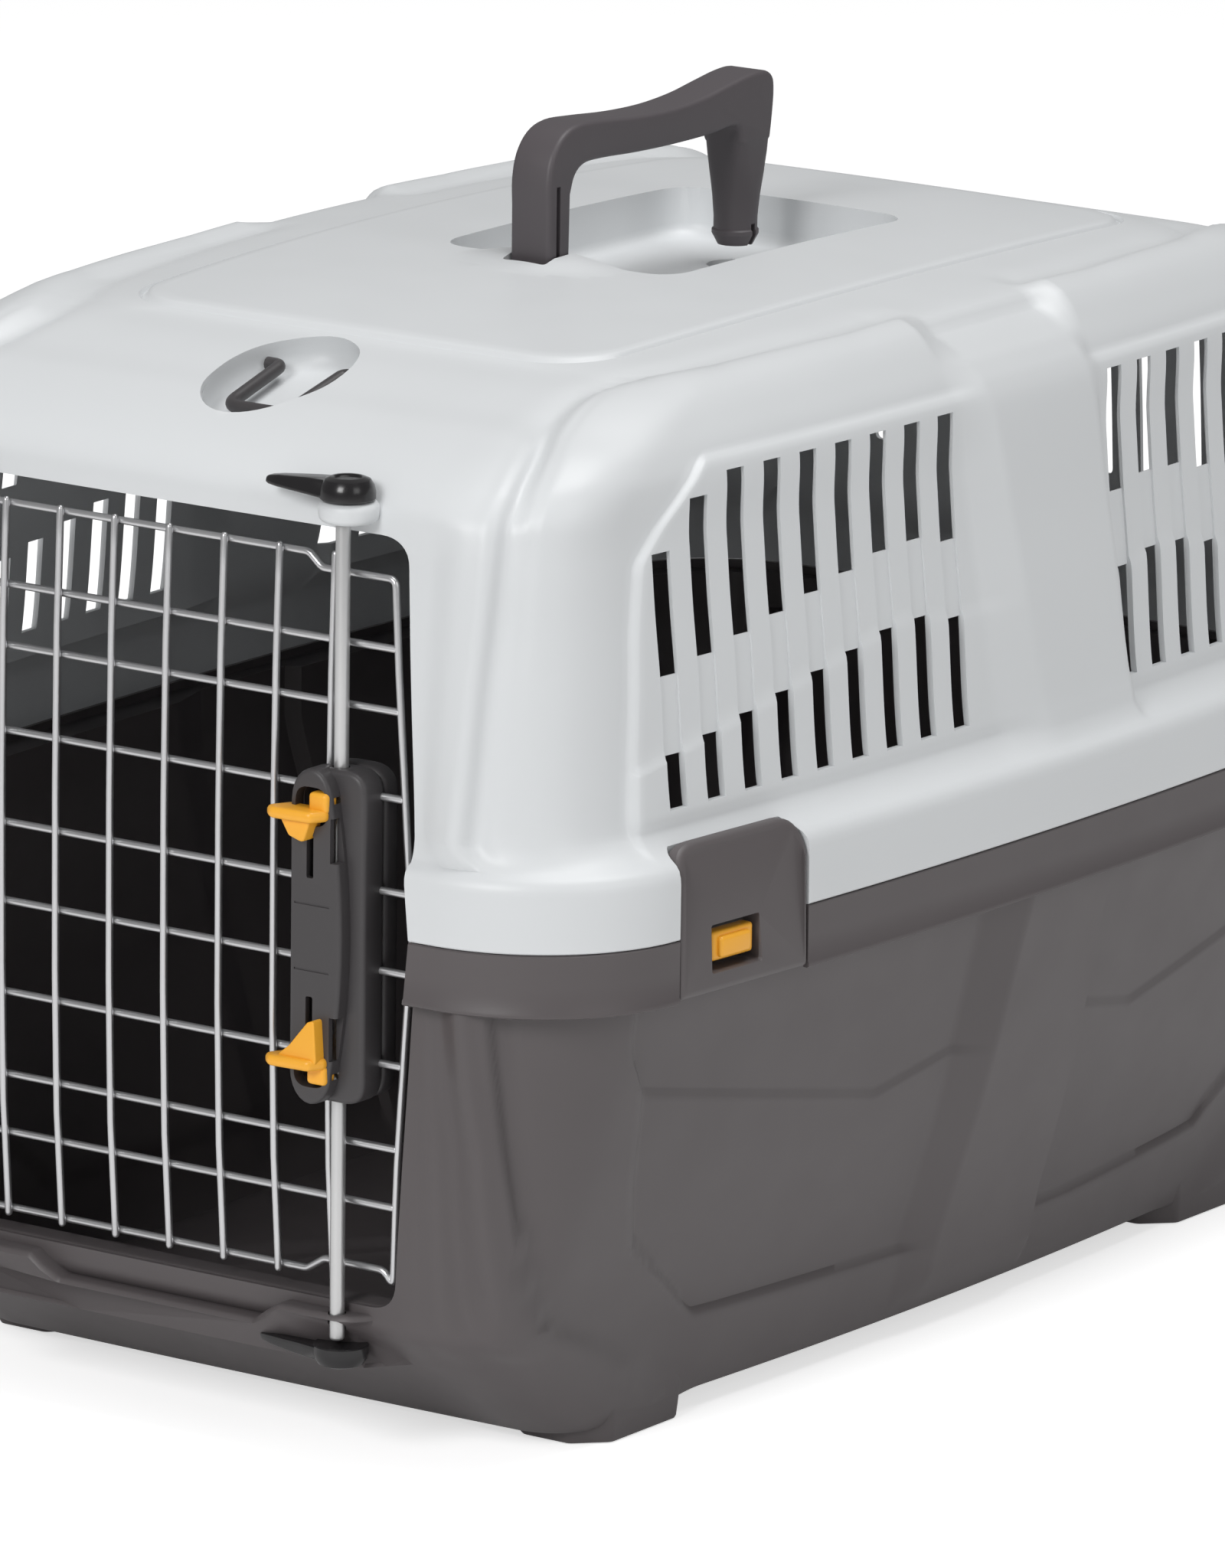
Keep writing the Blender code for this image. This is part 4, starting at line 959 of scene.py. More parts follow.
def upper_shell():
    """The pale half, with its recess, dishes, windows, vents and seats."""
    pan = loft("pan", recess_rings(2.4, lambda x, y: float(roof_z(x, y)) - 1.2))
    collar = doorway_collar(UPPER_LEVELS, SEAM + SEAM_GAP / 2 + 0.01, 400)
    boss = bevelled(prism(circle(BOLT_X, BOSS_Y, BOSS_RADIUS, 40), BOSS_LOW, BOSS_HIGH), 3.0, 5)
    pocket = loft("pocket", recess_rings(0.0, lambda x, y: 398.0))
    socket = prism(rounded_box(-9.7, 9.7, -75.0, -50.0, 2.0), RECESS_FLOOR, 402.0)
    snap = prism(circle(0.0, SNAP_Y, SNAP_RADIUS, 32), 360, 385)
    channels, slots = slot_cutters()
    mesh = upper_shell_mesh()
    for operation, others in (
        ("UNION", [pan]),
        ("UNION", [post_mound()]),
        ("UNION", [dish_pan(end) for end in (-1, 1)]),
        ("DIFFERENCE", [opening_cutter()]),
        ("UNION", [collar]),
        ("UNION", [boss]),
        ("DIFFERENCE", [pocket]),
        ("DIFFERENCE", [dish(end) for end in (-1, 1)]),
        ("DIFFERENCE", [socket]),
        ("DIFFERENCE", [snap]),
        ("DIFFERENCE", channels),
        ("DIFFERENCE", slots),
        ("DIFFERENCE", rear_vents()),
        ("DIFFERENCE", clip_pockets()),
        ("DIFFERENCE", pin_seats(*UPPER_SEAT)),
    ):
        mesh = cut(mesh, operation, *others)
    piece("upper_shell_body", mesh, PALE, "carrier", "upper_shell", 42)


def post_mound():
    """The roof swells round the socket of the handle's front post."""
    rings = []
    for share, rise in ((1.0, -0.6), (0.8, 0.5), (0.6, 2.0), (0.42, 3.4), (0.3, 4.2)):
        ring = []
        for angle in turn_angles(56):
            x = 46.0 * share * math.cos(angle)
            y = -63.0 + 26.0 * share * math.sin(angle)
            ring.append((x, y, float(roof_z(x, y)) + rise))
        rings.append(ring)
    bottom = [(x, y, z - 2.0) for x, y, z in rings[0]]
    return loft("mound", [bottom] + rings)


def pin_seats(low, high):
    """Cutters for the seats of the lock rods and of the hinge pins in the doorway's edge."""
    return [prism(circle(x, BOLT_Y, SEAT_RADIUS, 24), low, high) for x in (BOLT_X, HINGE_X)]


def rear_vents():
    """Cutters for a row of upright vents in the rear wall."""
    vents = []
    for x in [(i - 4) * SLOT_PITCH for i in range(9)]:
        outline = rounded_box(x - VENT_HALF, x + VENT_HALF, VENT_LOW, VENT_HIGH, 2.5)
        vents.append(prism(outline, 260.0, 320.0, "y"))
    return vents


# ------------------------------------------------------------------ lower shell
LOWER_COUNTS = (10, 4, 66, 10, 24, 4, 60, 4, 10)


def lower_breaks(z, end):
    """y of the lines that the wall's columns follow: panel edges, and feet and crests of the pillar."""
    panel = along(z, (8, 214), (43, 214), (75, 220), (88.5, 228), (119.5, 237.5), (141.5, 244), (178, 250))
    edges = ((-40, -40), (-22, -17), (47, 36), (50, 38.5))
    pillar = [along(z, (16, low), (169, high)) for low, high in edges]
    return [-end, -panel, -panel + 3, *pillar, panel - 3, panel, end]


def panel_bottom(y):
    """Height of the side panels' lower edge."""
    return along(y, (-231, 101), (-221, 81), (-168, 40), (-8, 35), (40, 34), (73, 34), (168, 40),
                 (221, 81), (231, 101))


def panel_crease(y):
    """Height of the crease across the side panels."""
    return along(y, (-257, 145), (-86, 108), (-41, 116), (-23, 114), (40, 117), (44, 117), (84, 109),
                 (134, 120), (200, 135), (257, 145))


def lower_warp(z, y):
    """Shifts the grid rows so that one runs along the panels' lower edge and one along their crease."""
    bottom, crease = np.minimum(panel_bottom(y), 46.0), panel_crease(y)
    shift = (bottom - 38.0) * np.clip(1 - np.abs(z - 38.0) / 24.0, 0, 1) * smooth(np.abs(y), 214, 190)
    fade = smooth(np.abs(y), 264, 244)
    return shift + (crease - 112.0) * np.clip(1 - np.abs(z - 112.0) / 48.0, 0, 1) * fade


def frame_edge(z):
    """|x| of the front frame's outer edge, which sweeps round the corner to the foot."""
    return along(z, (8, 139), (14.5, 139.7), (29.5, 142), (43, 143), (50, 143.6), (66, 144.3), (81.5, 144.8),
                 (108.5, 144.7), (140, 143.5), (170, 142.6), (178, 142.4))


def skirt_line(y):
    """Height of the line that sweeps from the front frame's edge down to the rear of the foot."""
    return along(y, (150, -6), (172, 5), (192, 16.4), (231, 38), (245, 47), (263, 60), (280, 66))


def lower_relief(x, y, z, pillar, window):
    """How far the outer face stands off the base form, point by point."""
    ends = smooth(np.abs(y), 150, 190)
    edge = frame_edge(z)
    skirt = skirt_line(np.abs(y))
    foot_side = 0.9 * smooth(z, skirt + 1.2, skirt - 1.2)
    proud = 4.0 * np.maximum(smooth(x, edge + 1.8, edge - 0.8), foot_side) * ends
    fringe = -1.2 * swell(x - edge - 4.0, 3.0) * ends
    ridge_x = along(z, (67, 137.5), (97, 137.5), (125, 137.5), (153, 135), (178, 134))
    ridge = 2.4 * swell(x - ridge_x, 4.0) * ends * smooth(z, 30, 60)
    gully = -4.2 * swell(x - ridge_x + 10, 5.5) * ends * smooth(z, 40, 70)
    inside = smooth(z, panel_bottom(y) - 1.2, panel_bottom(y) + 1.8)
    recess = -3.4 * window * inside
    lower_part = 1.0 * window * inside * smooth(z, panel_crease(y) + 0.6, panel_crease(y) - 1.2)
    side = (1 - pillar) * (recess + lower_part) + 3.0 * pillar * smooth(z, 9, 26)
    return proud + fringe + ridge + gully + side - surround_drop(x, y, z)


def no_lift(x, y, z):
    """The lower wall's rows stay at their heights."""
    return np.zeros_like(x)


def lower_heights():
    """Rows of the lower wall, closer together along the panels' lower edge and their crease."""
    wall = heights_of((15.0, 66.0, 1.9), (67.0, 101.0, 2.6), (101.5, 125.0, 1.9), (126.0, 174.0, 2.8))
    return [8.0, 9.0, 10.5, 12.5] + wall + [175.5, 177.0]


def lower_shell_mesh():
    """The lower shell before its cuts: floor, wall and rim, outside and inside."""
    base = wall_grid(LOWER_LEVELS, lower_heights(), lower_breaks, LOWER_COUNTS, lower_warp, no_lift)
    normal = normals(base)
    outer = base + normal * lower_relief(*np.moveaxis(base, 2, 0), *shares(LOWER_COUNTS))[..., None]
    inner = outer - normal * WALL
    top = SEAM - SEAM_GAP / 2
    # Under the rim, up its outer face with a bead along its lower edge, and down its inside.
    profile = ((8.0, 181.0), (4.5, 181.0), (2.8, 179.6), (2.0, 176.4), (0.4, 176.3), (-0.5, 176.9),
               (-0.5, 178.2), (0.0, 178.9), (0.0, 188.0), (0.0, top - 0.5), (0.5, top), (WALL + 1, top),
               (WALL + 1, RIM_INSIDE))
    rim = [rim_row(inset, height, base[-1][:, 1]) for inset, height in profile]
    inner_rows = list(inner[::-2])
    inner_top = inner_rows[0] * (1, 1, 0) + (0, 0, RIM_INSIDE)
    x, y, z = outer[0].T
    floor_rows, under_rows = [], []
    for k in (0.985, 0.95, 0.8, 0.6, 0.4, 0.2, 0.05):
        rise = 2.0 * smooth(1 - k, 0.0, 0.06) - 1.0 * (k > 0.97)
        under_rows.append(np.stack([x * k, y * k, z + rise], axis=1))
        floor_rows.append(np.stack([x * k * 0.985, y * k * 0.985, z + 2.0 + WALL], axis=1))
    rows = under_rows[::-1] + list(outer) + rim + [inner_top] + inner_rows + floor_rows
    return closed_rings("lower_shell", rows)


def foot(x_sign, y_sign):
    """A moulded foot with chamfered corners that flares into the tub."""
    rings = []
    for z, spread in ((0.0, 0.0), (0.8, 0.8), (5.0, 1.6), (10.0, 2.4), (18.0, 2.6)):
        x0, x1, y0, y1 = 98.0 - spread, 140.0 + spread * 0.5, 157.0 - spread, 219.0 + spread
        a = 11.0 + spread * 0.6
        outline = [(x0 + a, y0), (x1 - a, y0), (x1, y0 + a), (x1, y1 - a), (x1 - a, y1), (x0 + a, y1),
                   (x0, y1 - a), (x0, y0 + a)]
        rings.append([(x_sign * x, y_sign * y, z) for x, y in rounded_outline(outline, 4.0, steps=4)])
    return loft("foot", rings)


def sill():
    """The doorway's sill, which rises at both ends to seat the lock rod and the hinge pin."""
    half = [(99.0, 38.0), (98.0, 57.0), (56.0, 57.0), (44.0, 49.0)]
    outline = [(-x, z) for x, z in half] + half[::-1]
    outline = dense(rounded_outline(outline, [2, 5, 4, 4, 4, 4, 5, 2], steps=5), 5)
    rings = []
    for z_shift, y in ((0.0, -282.0), (0.0, -295.6), (-0.6, -296.8), (-2.0, -297.4)):
        ring = []
        for x, z in outline:
            back = 0.75 * max(0.0, 52.0 - z) + 1.3 * max(0.0, abs(x) - 86.0)
            ring.append((x, y + back, z + z_shift))
        rings.append(ring)
    return loft("sill", rings)


def lower_shell():
    """The dark half, with its feet, doorway, sill, clip pockets and seats."""
    mesh = cut(lower_shell_mesh(), "UNION", *[foot(x, y) for x in (1, -1) for y in (1, -1)])
    mesh = cut(mesh, "DIFFERENCE", opening_cutter())
    mesh = cut(mesh, "UNION", doorway_collar(LOWER_LEVELS, 0, SEAM - SEAM_GAP / 2 - 0.01))
    mesh = cut(mesh, "UNION", sill())
    mesh = cut(mesh, "DIFFERENCE", *clip_pockets())
    mesh = cut(mesh, "DIFFERENCE", *pin_seats(*LOWER_SEAT))
    piece("lower_shell_body", mesh, SHELL, "carrier", "lower_shell", 42)


# ------------------------------------------------------------------ stage
# The camera, its target and the lights are placed in metres, the floor in millimetres.
CAMERA_AZIMUTH = math.radians(35.065)
CAMERA_ELEVATION = math.radians(13.349)
CAMERA_ROLL = math.radians(0.760)
CAMERA_PLACE = (2.5815, -3.6912, 1.2524)
CAMERA_LENS = 282.9
LIGHT_TARGET = (0.0, 0.0, 0.2)
WHITE = (1.0, 1.0, 1.0, 1.0)
FLOOR_HALF = 30000.0
FLOOR_Z = -0.4
FLOOR_GLOW = 0.62
FLOOR_BOUNCE = 0.12
SKY_LIGHT = 0.23
KEY_WATTS = 56.0
FILL_WATTS = 13.0
TOP_WATTS = 47.0


def camera():
    """The camera at the photographer's place, with its small roll."""
    a, e, roll = CAMERA_AZIMUTH, CAMERA_ELEVATION, CAMERA_ROLL
    back = Vector((math.sin(a) * math.cos(e), -math.cos(a) * math.cos(e), math.sin(e)))
    level = Vector((math.cos(a), math.sin(a), 0.0))
    upright = back.cross(level)
    right = level * math.cos(roll) + upright * math.sin(roll)
    up = upright * math.cos(roll) - level * math.sin(roll)
    data = bpy.data.cameras.new("camera")
    data.sensor_width = 36.0
    data.lens = CAMERA_LENS
    data.clip_end = 100.0
    obj = new_object("camera", data)
    turn = Matrix((right, up, back)).transposed().to_4x4()
    obj.matrix_world = Matrix.Translation(CAMERA_PLACE) @ turn
    bpy.context.scene.camera = obj


def area_light(name, place, size, power):
    """A square light, aimed at the middle of the object."""
    data = bpy.data.lights.new(name, "AREA")
    data.shape = "RECTANGLE"
    data.size = data.size_y = size
    data.energy = power
    way = Vector(LIGHT_TARGET) - Vector(place)
    turn = way.to_track_quat("-Z", "Y").to_matrix().to_4x4()
    new_object(name, data).matrix_world = Matrix.Translation(place) @ turn


def seen_and_lit(tree, socket, seen, lit):
    """Gives a socket one value where the camera sees it and another where it only lights things."""
    ray = node(tree, "ShaderNodeLightPath")
    value = node(tree, "ShaderNodeMapRange", To_Min=lit, To_Max=seen)
    tree.links.new(ray.outputs["Is Camera Ray"], value.inputs["Value"])
    tree.links.new(value.outputs["Result"], socket)


def studio():
    """A white sky, three soft lights and a pale floor that the camera sees a little brighter."""
    world = bpy.data.worlds.new("studio")
    bpy.context.scene.world = world
    world.use_nodes = True
    sky = world.node_tree.nodes["Background"]
    sky.inputs["Color"].default_value = WHITE
    seen_and_lit(world.node_tree, sky.inputs["Strength"], 1.0, SKY_LIGHT)
    area_light("key", (0.2, -3.2, 2.0), 1.2, KEY_WATTS)
    area_light("fill", (3.2, -1.0, 1.8), 1.4, FILL_WATTS)
    area_light("top", (0.6, 0.2, 3.0), 1.6, TOP_WATTS)
    corners = [(x * FLOOR_HALF, y * FLOOR_HALF, FLOOR_Z) for x, y in ((-1, -1), (1, -1), (1, 1), (-1, 1))]
    floor = new_object("floor", mesh_of("floor", corners, [(0, 1, 2, 3)]))
    material = plastic("pale_floor", (0.93, 0.93, 0.93), 0.6, 0.01, grain=0.0, painted_edge_highlight=0.0, scale=0.1)
    shader = material.node_tree.nodes["Principled BSDF"]
    shader.inputs["Emission Color"].default_value = WHITE
    seen_and_lit(material.node_tree, shader.inputs["Emission Strength"], FLOOR_GLOW, FLOOR_BOUNCE)
    floor.data.materials.append(material)
    bpy.context.scene.view_settings.view_transform = "Standard"


# ------------------------------------------------------------------ door
def door_y(z):
    """The wires bow forward a little at mid height, as the doorway's edge does."""
    return float(along(z, (68, -286.5), (110, -289.6), (160, -290.8), (230, -291), (290, -290.2),
                       (330, -288.6)))


def door_half(z):
    """Half the door's width at height z."""
    return float(along(z, (68, 98.0), (SEAM, 108.3), (330, 98.0)))


def door_frame_points():
    """The door's outer wire, with its dips beside the lock rods."""
    low, high, middle = 68.1, 330.0, door_half(SEAM)
    right = [(60, high), (66, high - 5), (92, high - 5), (door_half(high), high - 5), (middle, SEAM),
             (door_half(low), low), (94, low + 5), (68, low + 5), (60, low)]
    return right + [(-98, low), (-middle, SEAM), (-98, high)]


def door():
    """Welded wires: cross wires and the frame behind, uprights in front, all with domed ends."""
    behind = 2 * WIRE_R - 0.5
    outline = rounded_outline(door_frame_points(), [5, 5, 5, 9, 30, 9, 5, 5, 5, 9, 30, 9], steps=6)
    loop = [(x, door_y(z) + behind, z) for x, z in dense(outline, 14)]
    meshes = [tube(loop, WIRE_R, sides=12, cyclic=True)]
    for z in (97.2, 119.1, 149.9, 183.8, 212.9, 246.8, 278.0, 300.3):
        reach = door_half(z) - 0.3
        y = door_y(z) + behind
        meshes.append(domed_rod((-reach, y, z), (reach, y, z), WIRE_R))
    heights = [65.6, 66.0] + list(np.linspace(66.8, 331.2, 26)) + [332.0, 332.4]
    radii = [0.7, 1.15] + [WIRE_R] * (len(heights) - 4) + [1.15, 0.7]
    for i in range(-3, 4):
        meshes.append(tube([(i * WIRE_PITCH, door_y(z), z) for z in heights], radii, sides=12))
    piece("door_wires", joined(meshes), STEEL, "door", "door_grid", 40)


def domed_rod(start, end, radius, sides=16):
    """A round rod whose ends are rounded over."""
    start, end = np.array(start, float), np.array(end, float)
    way = (end - start) / np.linalg.norm(end - start)
    path, radii = [], []
    for share, reach in ((0.35, 0.0), (0.75, 0.12), (0.94, 0.45), (1.0, 1.0)):
        path.append(start + way * reach * DOME_DEPTH * radius)
        radii.append(radius * share)
    back_path = [end - (p - start) for p in path][::-1]
    return tube(path + back_path, radii + radii[::-1], sides=sides)


def rod_piece(name, start, end, radius, body, node_name, material=STEEL, sides=24):
    """A steel rod as a finished piece."""
    mesh = domed_rod(start, end, radius, sides)
    piece(name, mesh, material, body, node_name, 40)


# ------------------------------------------------------------------ latch
def cover_outline():
    """Upright bar with round ends and a convex outer edge, in (x, z)."""
    low, high = LATCH_MID - COVER_HALF + 12, LATCH_MID + COVER_HALF - 12
    left, right = 66.2, 84.0
    middle, radius = (left + right) / 2, (right - left) / 2

    def end_arc(z, start):
        turn = [start + math.pi * i / 12 for i in range(1, 12)]
        return [(middle + radius * math.cos(a), z + 12 * math.sin(a)) for a in turn]

    bowed = [(right + 4.6 * (1 - (i / 6 - 1) ** 2), low + (high - low) * i / 12) for i in range(13)]
    return bowed + end_arc(high, 0.0) + [(left, high), (left, low)] + end_arc(low, math.pi)


def latch_prism(x0, x1, middle, half, radius, front, back):
    """An upright rounded plate or hole of the latch, seen from the front."""
    return prism(rounded_box(x0, x1, middle - half, middle + half, radius), front, back, "y")


def latch_cover():
    """The housing, hollow round each trigger, with its finger holes, side notches and rod holes."""
    shell = bevelled(prism(cover_outline(), COVER_FRONT, COVER_BACK, "y"), 1.6, 4, 40)
    base = latch_prism(67.0, 94.5, LATCH_MID, 60.5, 9.0, -299.0, -286.7)
    shell = cut(shell, "UNION", bevelled(base, 2.0, 4, 40))
    hollows, holes = [], []
    for sign in (1, -1):
        hollows.append(latch_prism(69.0, 84.0, LATCH_MID + sign * 29.0, 25.5, 5.0, COVER_FRONT + 2.2, -284.0))
        holes.append(latch_prism(68.6, 82.6, LATCH_MID + sign * 47.5, 7.0, 5.5, -312, -300.2))
        holes.append(latch_prism(73.6, 76.6, LATCH_MID + sign * 29.25, 7.75, 0.8, -312, -300.2))
        notch = LATCH_MID + sign * 36.0
        holes.append(box((83.9, -306.5, notch - 8.0), (91.0, -300.6, notch + 8.0)))
        rod_hole = sorted(LATCH_MID + sign * (COVER_HALF + reach) for reach in (2, -8))
        holes.append(prism(circle(BOLT_X, BOLT_Y, PIN_HOLE_RADIUS, 28), *rod_hole))
    marks = []
    for z in (LATCH_MID + 12.0, LATCH_MID - 12.0):
        marks.append(box((68.4, COVER_FRONT - 1, z - 0.35), (83.6, COVER_FRONT + 0.35, z + 0.35)))
    for cutters in (hollows, holes, marks):
        shell = cut(shell, "DIFFERENCE", *cutters)
    piece("latch_housing", shell, FITTING, "door", "latch_cover", 28)


def latch_back_plate():
    """The plate behind the wires, with a raised rim and three screws."""
    plate = bevelled(latch_prism(67.0, 94.5, LATCH_MID, 60.5, 10.0, -286.4, -278.0), 2.0, 4, 40)
    plate = cut(plate, "DIFFERENCE", latch_prism(71.0, 90.5, LATCH_MID, 56.0, 7.0, -279.0, -270.0))
    head = [(0.0, 0.0), (2.6, 0.0), (3.2, 0.5), (3.2, 1.2), (0.0, 1.2)]
    screws = [lathe(head, (86.0, -279.2, LATCH_MID + z), "y") for z in (-40, 0, 40)]
    plate = cut(plate, "UNION", *screws)
    piece("latch_clamp_plate", plate, FITTING, "door", "latch_back_plate", 28)


def latch_trigger(name, sign):
    """Finger tab: a rounded shelf, a gusset towards the middle and a stem in the cover's slot."""
    z = LATCH_MID + sign * 45.0
    shelf = [(59.0, -309.5), (63.0, -313.0), (80.0, -312.0), (83.4, -306.0), (82.0, -300.6), (64.0, -300.6)]
    mesh = bevelled(prism(rounded_outline(shelf, 3.2, steps=5), z - 2.1, z + 2.1), 1.7, 4)
    if sign > 0:
        corners = [(64.0, z), (79.0, z), (75.5, z - 10.0), (69.0, z - 8.0)]
    else:
        corners = [(62.5, z), (82.0, z), (80.8, z + 16.5), (78.0, z + 15.5), (70.0, z + 6.0)]
    web = prism(rounded_outline(corners, 2.2, steps=4), -310.0, -301.6, "y")
    z0, z1 = sorted((z + sign * 0.5, z + sign * 8.0))
    stem = box((75.0, -306.5, z0), (83.2, -299.6, z1))
    mesh = cut(mesh, "UNION", bevelled(web, 1.8, 4))
    mesh = cut(mesh, "UNION", bevelled(stem, 1.6, 4))
    body = name + "_bolt"
    piece(name + "_finger_tab", mesh, YELLOW, body, name + "_trigger", 30)
    ends = [(BOLT_X, BOLT_Y, z) for z in (LATCH_MID + sign * 22.0, ROD_ENDS[sign])]
    rod_piece(name + "_rod", *ends, PIN_RADIUS, body, name + "_lock_rod", BRIGHT)


def latch_spring(name, sign):
    """The coil that pushes a lock rod out of the housing."""
    start, end = LATCH_MID + sign * 3.65, LATCH_MID + sign * 21.3
    steps = 22
    path = []
    for i in range(COIL_TURNS * steps + 1):
        a = 2 * math.pi * i / steps
        z = start + (end - start) * i / (COIL_TURNS * steps)
        path.append((BOLT_X + COIL_RADIUS * math.cos(a), BOLT_Y + COIL_RADIUS * math.sin(a), z))
    coil = tube(path, COIL_WIRE, sides=8)
    piece(name + "_coil", coil, STEEL, "door", name + "_latch_spring", 40)


def safety_lever(name, up, body):
    """A round turning knob with a flat pointed tail; up says which way its dome faces."""
    base = LEVER_BASES[up]
    profile = [(0.0, 0.0), (9.6, 0.0), (10.0, 0.5), (10.0, 3.0), (9.4, 5.4), (8.2, 7.2), (6.2, 8.0),
               (5.2, 8.0), (4.8, 7.4), (0.0, 7.4)]
    knob = lathe([(r, up * h) for r, h in profile], (BOLT_X, LEVER_Y, base), steps=48)
    sections = ((0, 9.0, 0.6, 6.0), (-7, 8.6, 0.6, 6.6), (-14, 7.0, 0.7, 6.4), (-22, 5.6, 0.9, 5.8),
                (-29, 4.2, 1.1, 5.2), (-33, 3.2, 1.4, 4.6), (-34.4, 2.2, 1.8, 4.0))
    rings = []
    for x, half, low, high in sections:
        corners = [(-half, low), (half, low), (half * 0.62, high), (-half * 0.62, high)]
        section = rounded_outline(corners, min(1.2, half * 0.5), steps=4)
        rings.append([(BOLT_X + x, LEVER_Y + a, base + up * b) for a, b in section])
    mesh = cut(knob, "UNION", loft("tail", rings))
    piece(name + "_knob", mesh, BLACK, body, name, 34)


# ------------------------------------------------------------------ side clips
def clip_face(z):
    """x of a clip's outer face in its own frame; the top leans in over the rim."""
    return 0.3 - 5.6 * max(0.0, (z - 215.0) / 17.0) ** 1.35


def towards(value, centre, inset):
    """The value moved towards the centre by the inset, but not past it."""
    offset = value - centre
    return value - math.copysign(min(inset, abs(offset)), offset)


def side_clip(name, side, end):
    """A clip with a rounded rim and a window, its axle, and the yellow release tab in the window."""
    place = clip_frame(side, end)
    body = f"{name}_clip_body"
    middle = (CLIP_LOW + CLIP_HIGH) / 2
    outline = clip_outline()
    rings = []
    for inset, depth in ((2.2, 0.0), (1.0, 0.25), (0.35, 0.7), (0.0, 1.4)):
        inner = [(towards(y, 0.0, inset), towards(z, middle, inset)) for y, z in outline]
        rings.append([(clip_face(z) - depth, y, z) for y, z in inner])
    rings.append([(-9.0, y, z) for y, z in outline])
    shift = side * end * CATCH_SHIFT
    window = rounded_box(shift - WINDOW_HALF, shift + WINDOW_HALF, WINDOW_LOW, WINDOW_HIGH, 1.2)
    window_z = (WINDOW_LOW + WINDOW_HIGH) / 2
    mesh = cut(loft("clip", rings), "DIFFERENCE", prism(window, -20.0, 5.0, "x"))
    flared = [[(x, shift + (y - shift) * k, window_z + (z - window_z) * k) for y, z in window]
              for x, k in ((-1.4, 1.0), (1.2, 1.09))]
    mesh = cut(mesh, "DIFFERENCE", loft("chamfer", flared))
    mesh.transform(place)
    piece(f"{name}_clip_cover", mesh, CLIP, body, f"{name}_clip", 24)
    reach = CLIP_HALF + AXLE_PAST
    ends = [tuple(place @ (Vector((AXLE_X, y, AXLE_Z)) * MM) / MM) for y in (-reach, reach)]
    rod_piece(f"{name}_clip_axle", *ends, AXLE_RADIUS, body, f"{name}_clip_pin", sides=16)
    tab = bevelled(box((-8.0, shift - 11.5, 187.6), (-2.4, shift + 11.5, 198.4)), 1.3, 4)
    lip = bevelled(box((-4.0, shift - 8.5, 188.8), (-0.6, shift + 8.5, 196.4)), 1.3, 4)
    tab = cut(tab, "UNION", lip)
    tab.transform(place)
    body = f"{name}_catch_body"
    piece(f"{name}_release_tab", tab, YELLOW, body, f"{name}_catch", 32)


# ------------------------------------------------------------------ handle and strap loops
def curve_through(points):
    """A smooth open line through points (Catmull-Rom)."""
    made = []
    points = [np.array(p, float) for p in points]
    ends = [2 * points[0] - points[1]] + points + [2 * points[-1] - points[-2]]
    for i in range(len(points) - 1):
        p0, p1, p2, p3 = ends[i : i + 4]
        for t in (0.0, 0.25, 0.5, 0.75):
            bend = (2 * p0 - 5 * p1 + 4 * p2 - p3) * t**2 + (3 * p1 - p0 - 3 * p2 + p3) * t**3
            made.append(tuple(0.5 * (2 * p1 + (p2 - p0) * t + bend)))
    return made + [tuple(points[-1])]


def rear_post():
    """The rear post tapers from the grip's section to a round snap-in foot."""
    rings = []
    shape = ((430.0, 51.0, 73.8, 8.8, 0.0), (424.0, 51.6, 73.4, 8.9, 0.1), (416.0, 52.6, 72.6, 8.9, 0.35),
             (408.0, 53.3, 71.8, 8.7, 0.65), (400.0, 53.7, 71.0, 8.5, 0.9), (392.0, 53.9, 70.5, 8.3, 1.0),
             (387.4, 53.9, 70.4, 8.3, 1.0), (386.8, 53.2, 71.0, 8.9, 1.0), (385.4, 53.2, 71.0, 8.9, 1.0),
             (383.2, 54.4, 69.8, 7.7, 1.0), (381.2, 55.4, 68.8, 6.7, 1.0))
    for z, y0, y1, half, roundness in shape:
        power = 2.0 + 4.0 * (1 - roundness)
        ring = []
        for a in turn_angles(48):
            c, d = math.cos(a), math.sin(a)
            size = (abs(c) ** power + abs(d) ** power) ** (-1 / power)
            ring.append((half * c * size, (y0 + y1) / 2 + (y1 - y0) / 2 * d * size, z))
        rings.append(ring)
    return loft("rear_post", rings)


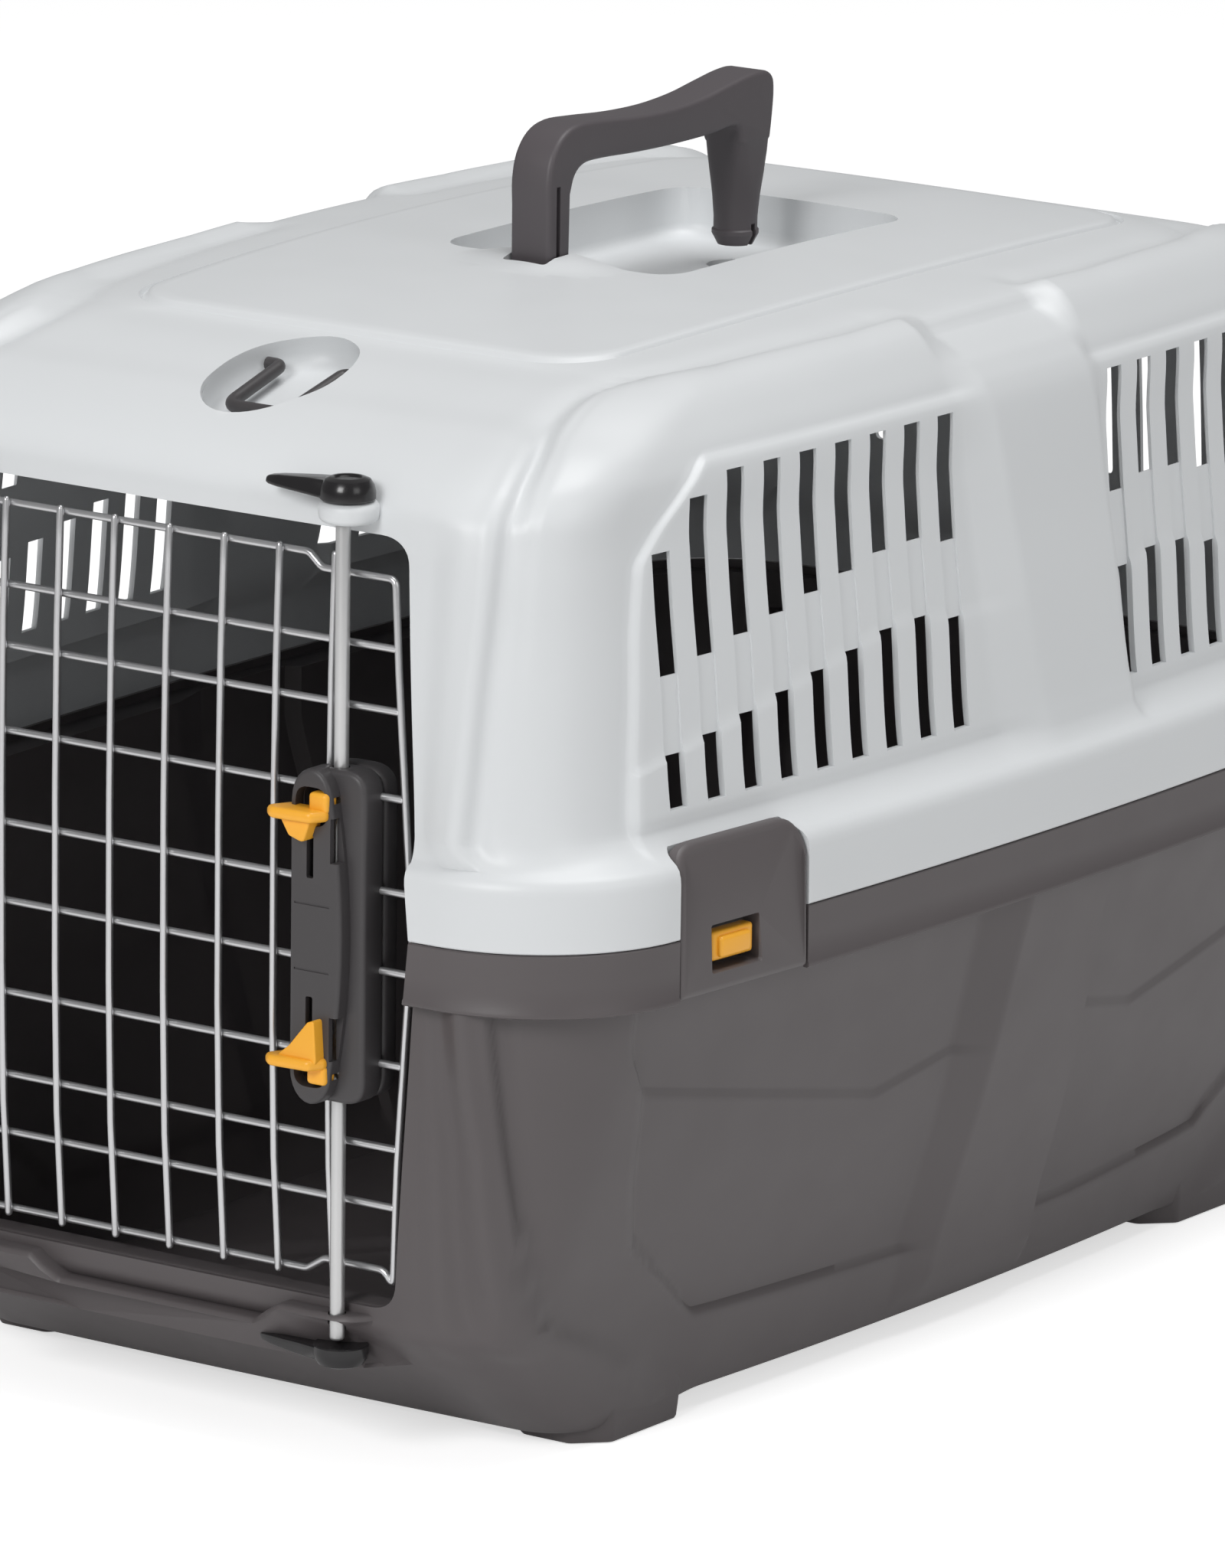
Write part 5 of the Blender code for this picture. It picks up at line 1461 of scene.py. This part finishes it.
def handle():
    """The grip with its channelled front post and its round rear post, in one moulding."""
    top = [(-71.0, 414), (-71.2, 424), (-68.6, 433.5), (-62.0, 440.6), (-52.0, 443.6), (-36, 443.0),
           (-14, 441.4), (8, 441.0), (28, 442.4), (44, 444.9), (58, 447.0), (68, 447.2), (73.2, 444.6),
           (74.4, 439), (73.6, 430), (72.0, 420)]
    under = [(52.8, 420), (51.2, 427.4), (46.0, 428.6), (34, 427.6), (10, 427.2), (-14, 427.6),
             (-36, 428.6), (-48, 428.2), (-54.2, 424.6), (-57.0, 418)]
    outline = [(-70.8, 379.0)] + curve_through(top) + curve_through(under) + [(-57.8, 379.0)]
    mesh = bevelled(prism(outline, -HANDLE_HALF, HANDLE_HALF, "x"), 3.2, 5, 50)
    mesh = cut(mesh, "UNION", rear_post())
    channel = prism(rounded_box(-6.2, 6.2, -67.0, -50.0, 1.2), 370.0, 421.0)
    slit = box((-20, 60.8, 378.0), (20, 63.2, 389.5))
    grooves = [box((x - 1.2, -66.6, 387.0), (x + 1.2, -64.2, 422.0)) for x in (8.4, -8.4)]
    bore = lathe([(2.9, -20.0), (2.9, 20.0)], (0.0, *HANDLE_PIVOT), "x", steps=24)
    for cutters in ([channel], [slit, *grooves], [bore]):
        mesh = cut(mesh, "DIFFERENCE", *cutters)
    piece("handle_grip", mesh, HANDLE, "handle_body", "handle", 28)
    ends = [(x, *HANDLE_PIVOT) for x in (-13, 13)]
    rod_piece("handle_axle", *ends, 2.5, "handle_body", "handle_pin")


def strap_loop(name, end):
    """A wire loop lying in its dish, with both ends turned out into the roof."""
    half, top, low = 14.0, 18.0, -17.0
    right = [(half - 1.0, low), (half, top), (half + 6, top)]
    plan = [(-x, y) for x, y in right[::-1]] + right
    mesh = tube(filleted([(x, y, LOOP_DEPTH) for x, y in plan], 6.0, steps=7), LOOP_RADIUS, sides=18)
    mesh.transform(loop_frame(end))
    body = name.replace("_strap", "")
    piece(f"{name}_wire", mesh, FITTING, body, name, 40)


def hinge_rods():
    """The door's two hinge pins, on the body that the record gives them."""
    bodies = frame["record"]["behaviour"]["bodies"]
    body = next(name for name, nodes in bodies.items() if "lower_hinge_pin" in nodes)
    for name, heights in HINGE_RODS.items():
        ends = [(HINGE_X, BOLT_Y, z) for z in heights]
        rod_piece(name + "_rod", *ends, PIN_RADIUS, body, name + "_pin")


def fittings():
    """Every piece but the two shells."""
    door()
    hinge_rods()
    latch_cover()
    latch_back_plate()
    for name, sign in (("upper", 1), ("lower", -1)):
        latch_trigger(name, sign)
        latch_spring(name, sign)
    safety_lever("top_safety_lever", 1, "top_lever")
    safety_lever("bottom_safety_lever", -1, "bottom_lever")
    for name, (side, end) in CORNERS.items():
        side_clip(name, side, end)
    handle()
    strap_loop("front_strap_loop", -1)
    strap_loop("rear_strap_loop", 1)


upper_shell()
lower_shell()
fittings()
studio()
camera()
